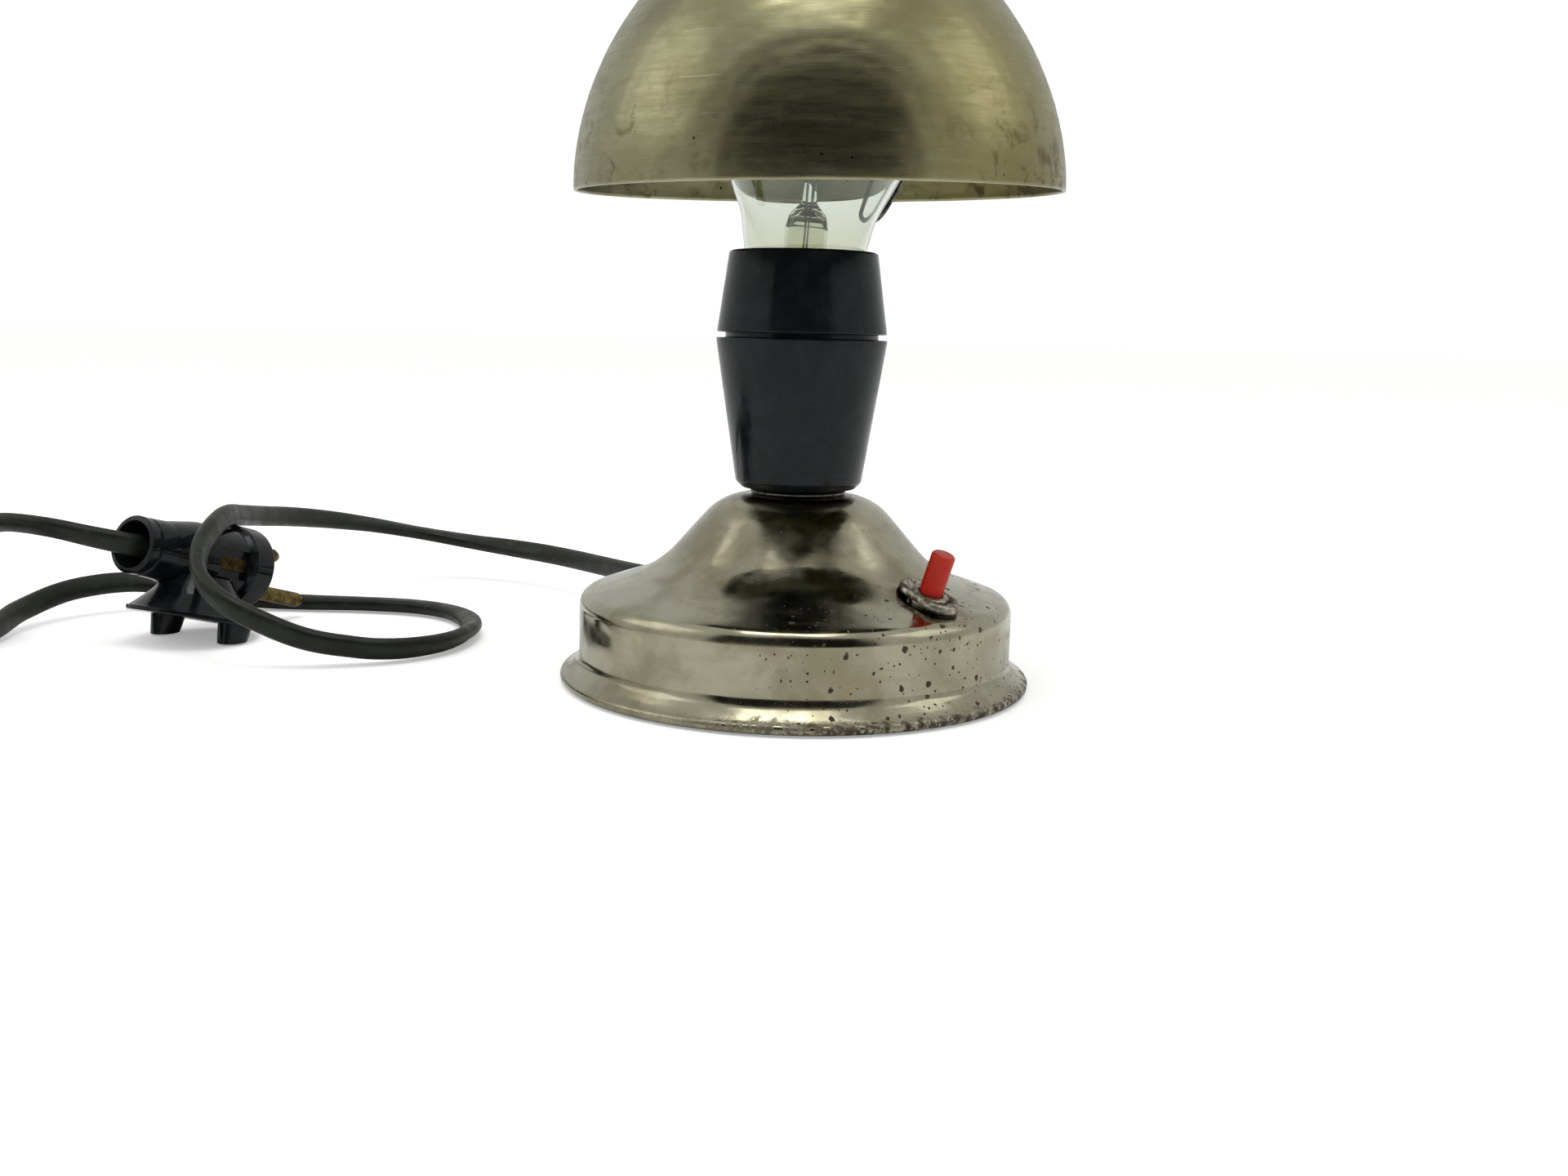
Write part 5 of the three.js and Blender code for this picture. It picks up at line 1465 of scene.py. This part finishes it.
def tie_line():
    """A rounded oblong that goes round the four turns, standing across them."""
    half_across, half_high = LEAD_THICKNESS + 0.3 + 0.7 + 0.4, LEAD_WIDTH + 0.3 + GAP + 0.4
    centre = COIL_LIFT + LEAD_WIDTH + 0.3
    corners = []
    for k in range(64):
        angle = 2 * math.pi * k / 64
        x = half_across * math.copysign(abs(math.cos(angle)) ** 0.35, math.cos(angle))
        z = half_high * math.copysign(abs(math.sin(angle)) ** 0.35, math.sin(angle))
        corners.append((TIE_PLACE[0] + x, TIE_PLACE[1], centre + z))
    return corners


def wrapped_tie():
    inner = tie_line()
    centre = Vector((TIE_PLACE[0], TIE_PLACE[1], COIL_LIFT + LEAD_WIDTH + 0.3))
    rings = []
    for thickness, offset in ((-0.35, -4.4), (0.35, -4.4), (0.4, 0.0), (0.35, 4.4), (-0.35, 4.4)):
        ring = []
        for point in inner:
            away = (Vector(point) - centre).normalized()
            ring.append(Vector(point) + away * thickness + Vector((0, offset, 0)))
        rings.append(ring)
    count, total = len(inner), len(rings)
    faces = [[i * count + k, i * count + (k + 1) % count, (i + 1) % total * count + (k + 1) % count,
              (i + 1) % total * count + k] for i in range(total) for k in range(count)]
    return piece("coil_tie_band", [v for ring in rings for v in ring], faces)


tie = paint(wrapped_tie(), tape)
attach(tie, "lamp")
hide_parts("cord_tie")

# %% [markdown]
# ## Pieces that stay as they were modelled
# The nuts, the ballast, the porcelain insert and the wires inside are hidden in use and already have the
# right shape. They only take a finish.

# %% Finish the hidden pieces
HIDDEN = {
    "base_plate": zinc_plate, "ballast_weight": ballast_iron, "ballast_stud": zinc_plate,
    "ballast_nut": zinc_plate,
    "centre_nipple": zinc_plate, "nut_under_cover": zinc_plate, "nut_in_holder": zinc_plate,
    "switch_locknut": zinc_plate, "cap_contact": zinc_plate, "holder_insert": glazed_porcelain,
    "terminal_screw_1": dull_brass, "terminal_screw_2": dull_brass, "screw_shell": dull_brass,
    "centre_contact": dull_brass, "bulb_cap": dull_brass, "cap_insulator": phenolic, "switch_body": phenolic,
    "wire_to_switch": wire_cover, "wire_to_holder": wire_cover, "wire_from_switch": wire_cover,
}
for name, look in HIDDEN.items():
    paint(frame["nodes"][name], look)
print("kept nodes", len(HIDDEN))

# %% [markdown]
# ## The studio
# The lamp stands on a pale floor that runs on out of sight, in a bright plain room. Polished metal shows
# what is round it, so the room holds what a studio would: two tall soft lights at the sides,
# one above, and darkness in front, where the camera stands. A dark card there is seen only in reflections.

# %% Build the studio


def stage_plane(name, size, place, look):
    mesh = bpy.data.meshes.new(name)
    half_size = size / 2
    mesh.from_pydata([(-half_size, -half_size, 0), (half_size, -half_size, 0), (half_size, half_size, 0),
                      (-half_size, half_size, 0)], [], [(0, 1, 2, 3)])
    made = bpy.data.objects.new(name, mesh)
    bpy.context.scene.collection.objects.link(made)
    made.matrix_world = place
    mesh.materials.append(look)
    return made


def floor_finish():
    made, tree, shader = finish("matt_white_paper", Roughness=0.9)
    where = place_mm(tree)
    tree.links.new(blended(tree, grain(tree, where, 60, 2.0), linear("#f7f7f6"), linear("#fbfbfa")),
                   shader.inputs["Base Color"])
    rays = add(tree, "ShaderNodeLightPath").outputs
    seen = number(tree, "MAXIMUM", rays["Is Camera Ray"], rays["Is Transmission Ray"])
    shader.inputs["Emission Color"].default_value = linear("#ffffff")
    tree.links.new(number(tree, "MULTIPLY", seen, 0.3), shader.inputs["Emission Strength"])
    return made


def soft_light(name, place, aim, width, height, power, tint="#ffffff"):
    data = bpy.data.lights.new(name, "AREA")
    data.shape = "RECTANGLE"
    data.size, data.size_y = width, height
    data.energy = power
    data.color = linear(tint)[:3]
    made = bpy.data.objects.new(name, data)
    bpy.context.scene.collection.objects.link(made)
    made.location = place
    made.rotation_euler = (Vector(aim) - Vector(place)).to_track_quat("-Z", "Y").to_euler()
    return made


floor = stage_plane("floor", 60.0, Matrix.Translation((0, 0, -0.0003)), floor_finish())
dark_card_finish = finish("black_velvet", Roughness=1.0, Base_Color=linear("#0b0b0a"))[0]
facing_lamp = Matrix.Translation((-0.06, -1.1, 0.62)) @ Matrix.Rotation(math.radians(90), 4, "X")
dark_card = stage_plane("dark_card", 2.1, facing_lamp, dark_card_finish)
for ray in ("visible_camera", "visible_diffuse", "visible_shadow", "visible_transmission"):
    setattr(dark_card, ray, False)
aim = (0, 0, 0.09)
soft_light("left_softbox", (-0.95, -0.05, 0.75), aim, 0.7, 0.6, 1.4)
soft_light("right_softbox", (0.95, -0.05, 0.8), aim, 0.6, 0.6, 1.2)
soft_light("overhead_softbox", (-0.02, -0.12, 1.15), aim, 0.6, 0.55, 4.2)
room = bpy.data.worlds.new("bright_room")
room.use_nodes = True
wall = room.node_tree.nodes["Background"]
wall.inputs["Color"].default_value = linear("#fbfdfb")
rays = add(room.node_tree, "ShaderNodeLightPath").outputs
seen_wall = number(room.node_tree, "MAXIMUM", rays["Is Camera Ray"], rays["Is Transmission Ray"])
room.node_tree.links.new(number(room.node_tree, "ADD", number(room.node_tree, "MULTIPLY", seen_wall, 0.3),
    0.75),
                         wall.inputs["Strength"])
bpy.context.scene.world = room
bpy.context.scene.view_settings.view_transform = "Standard"
print("lights", len(bpy.data.lights))
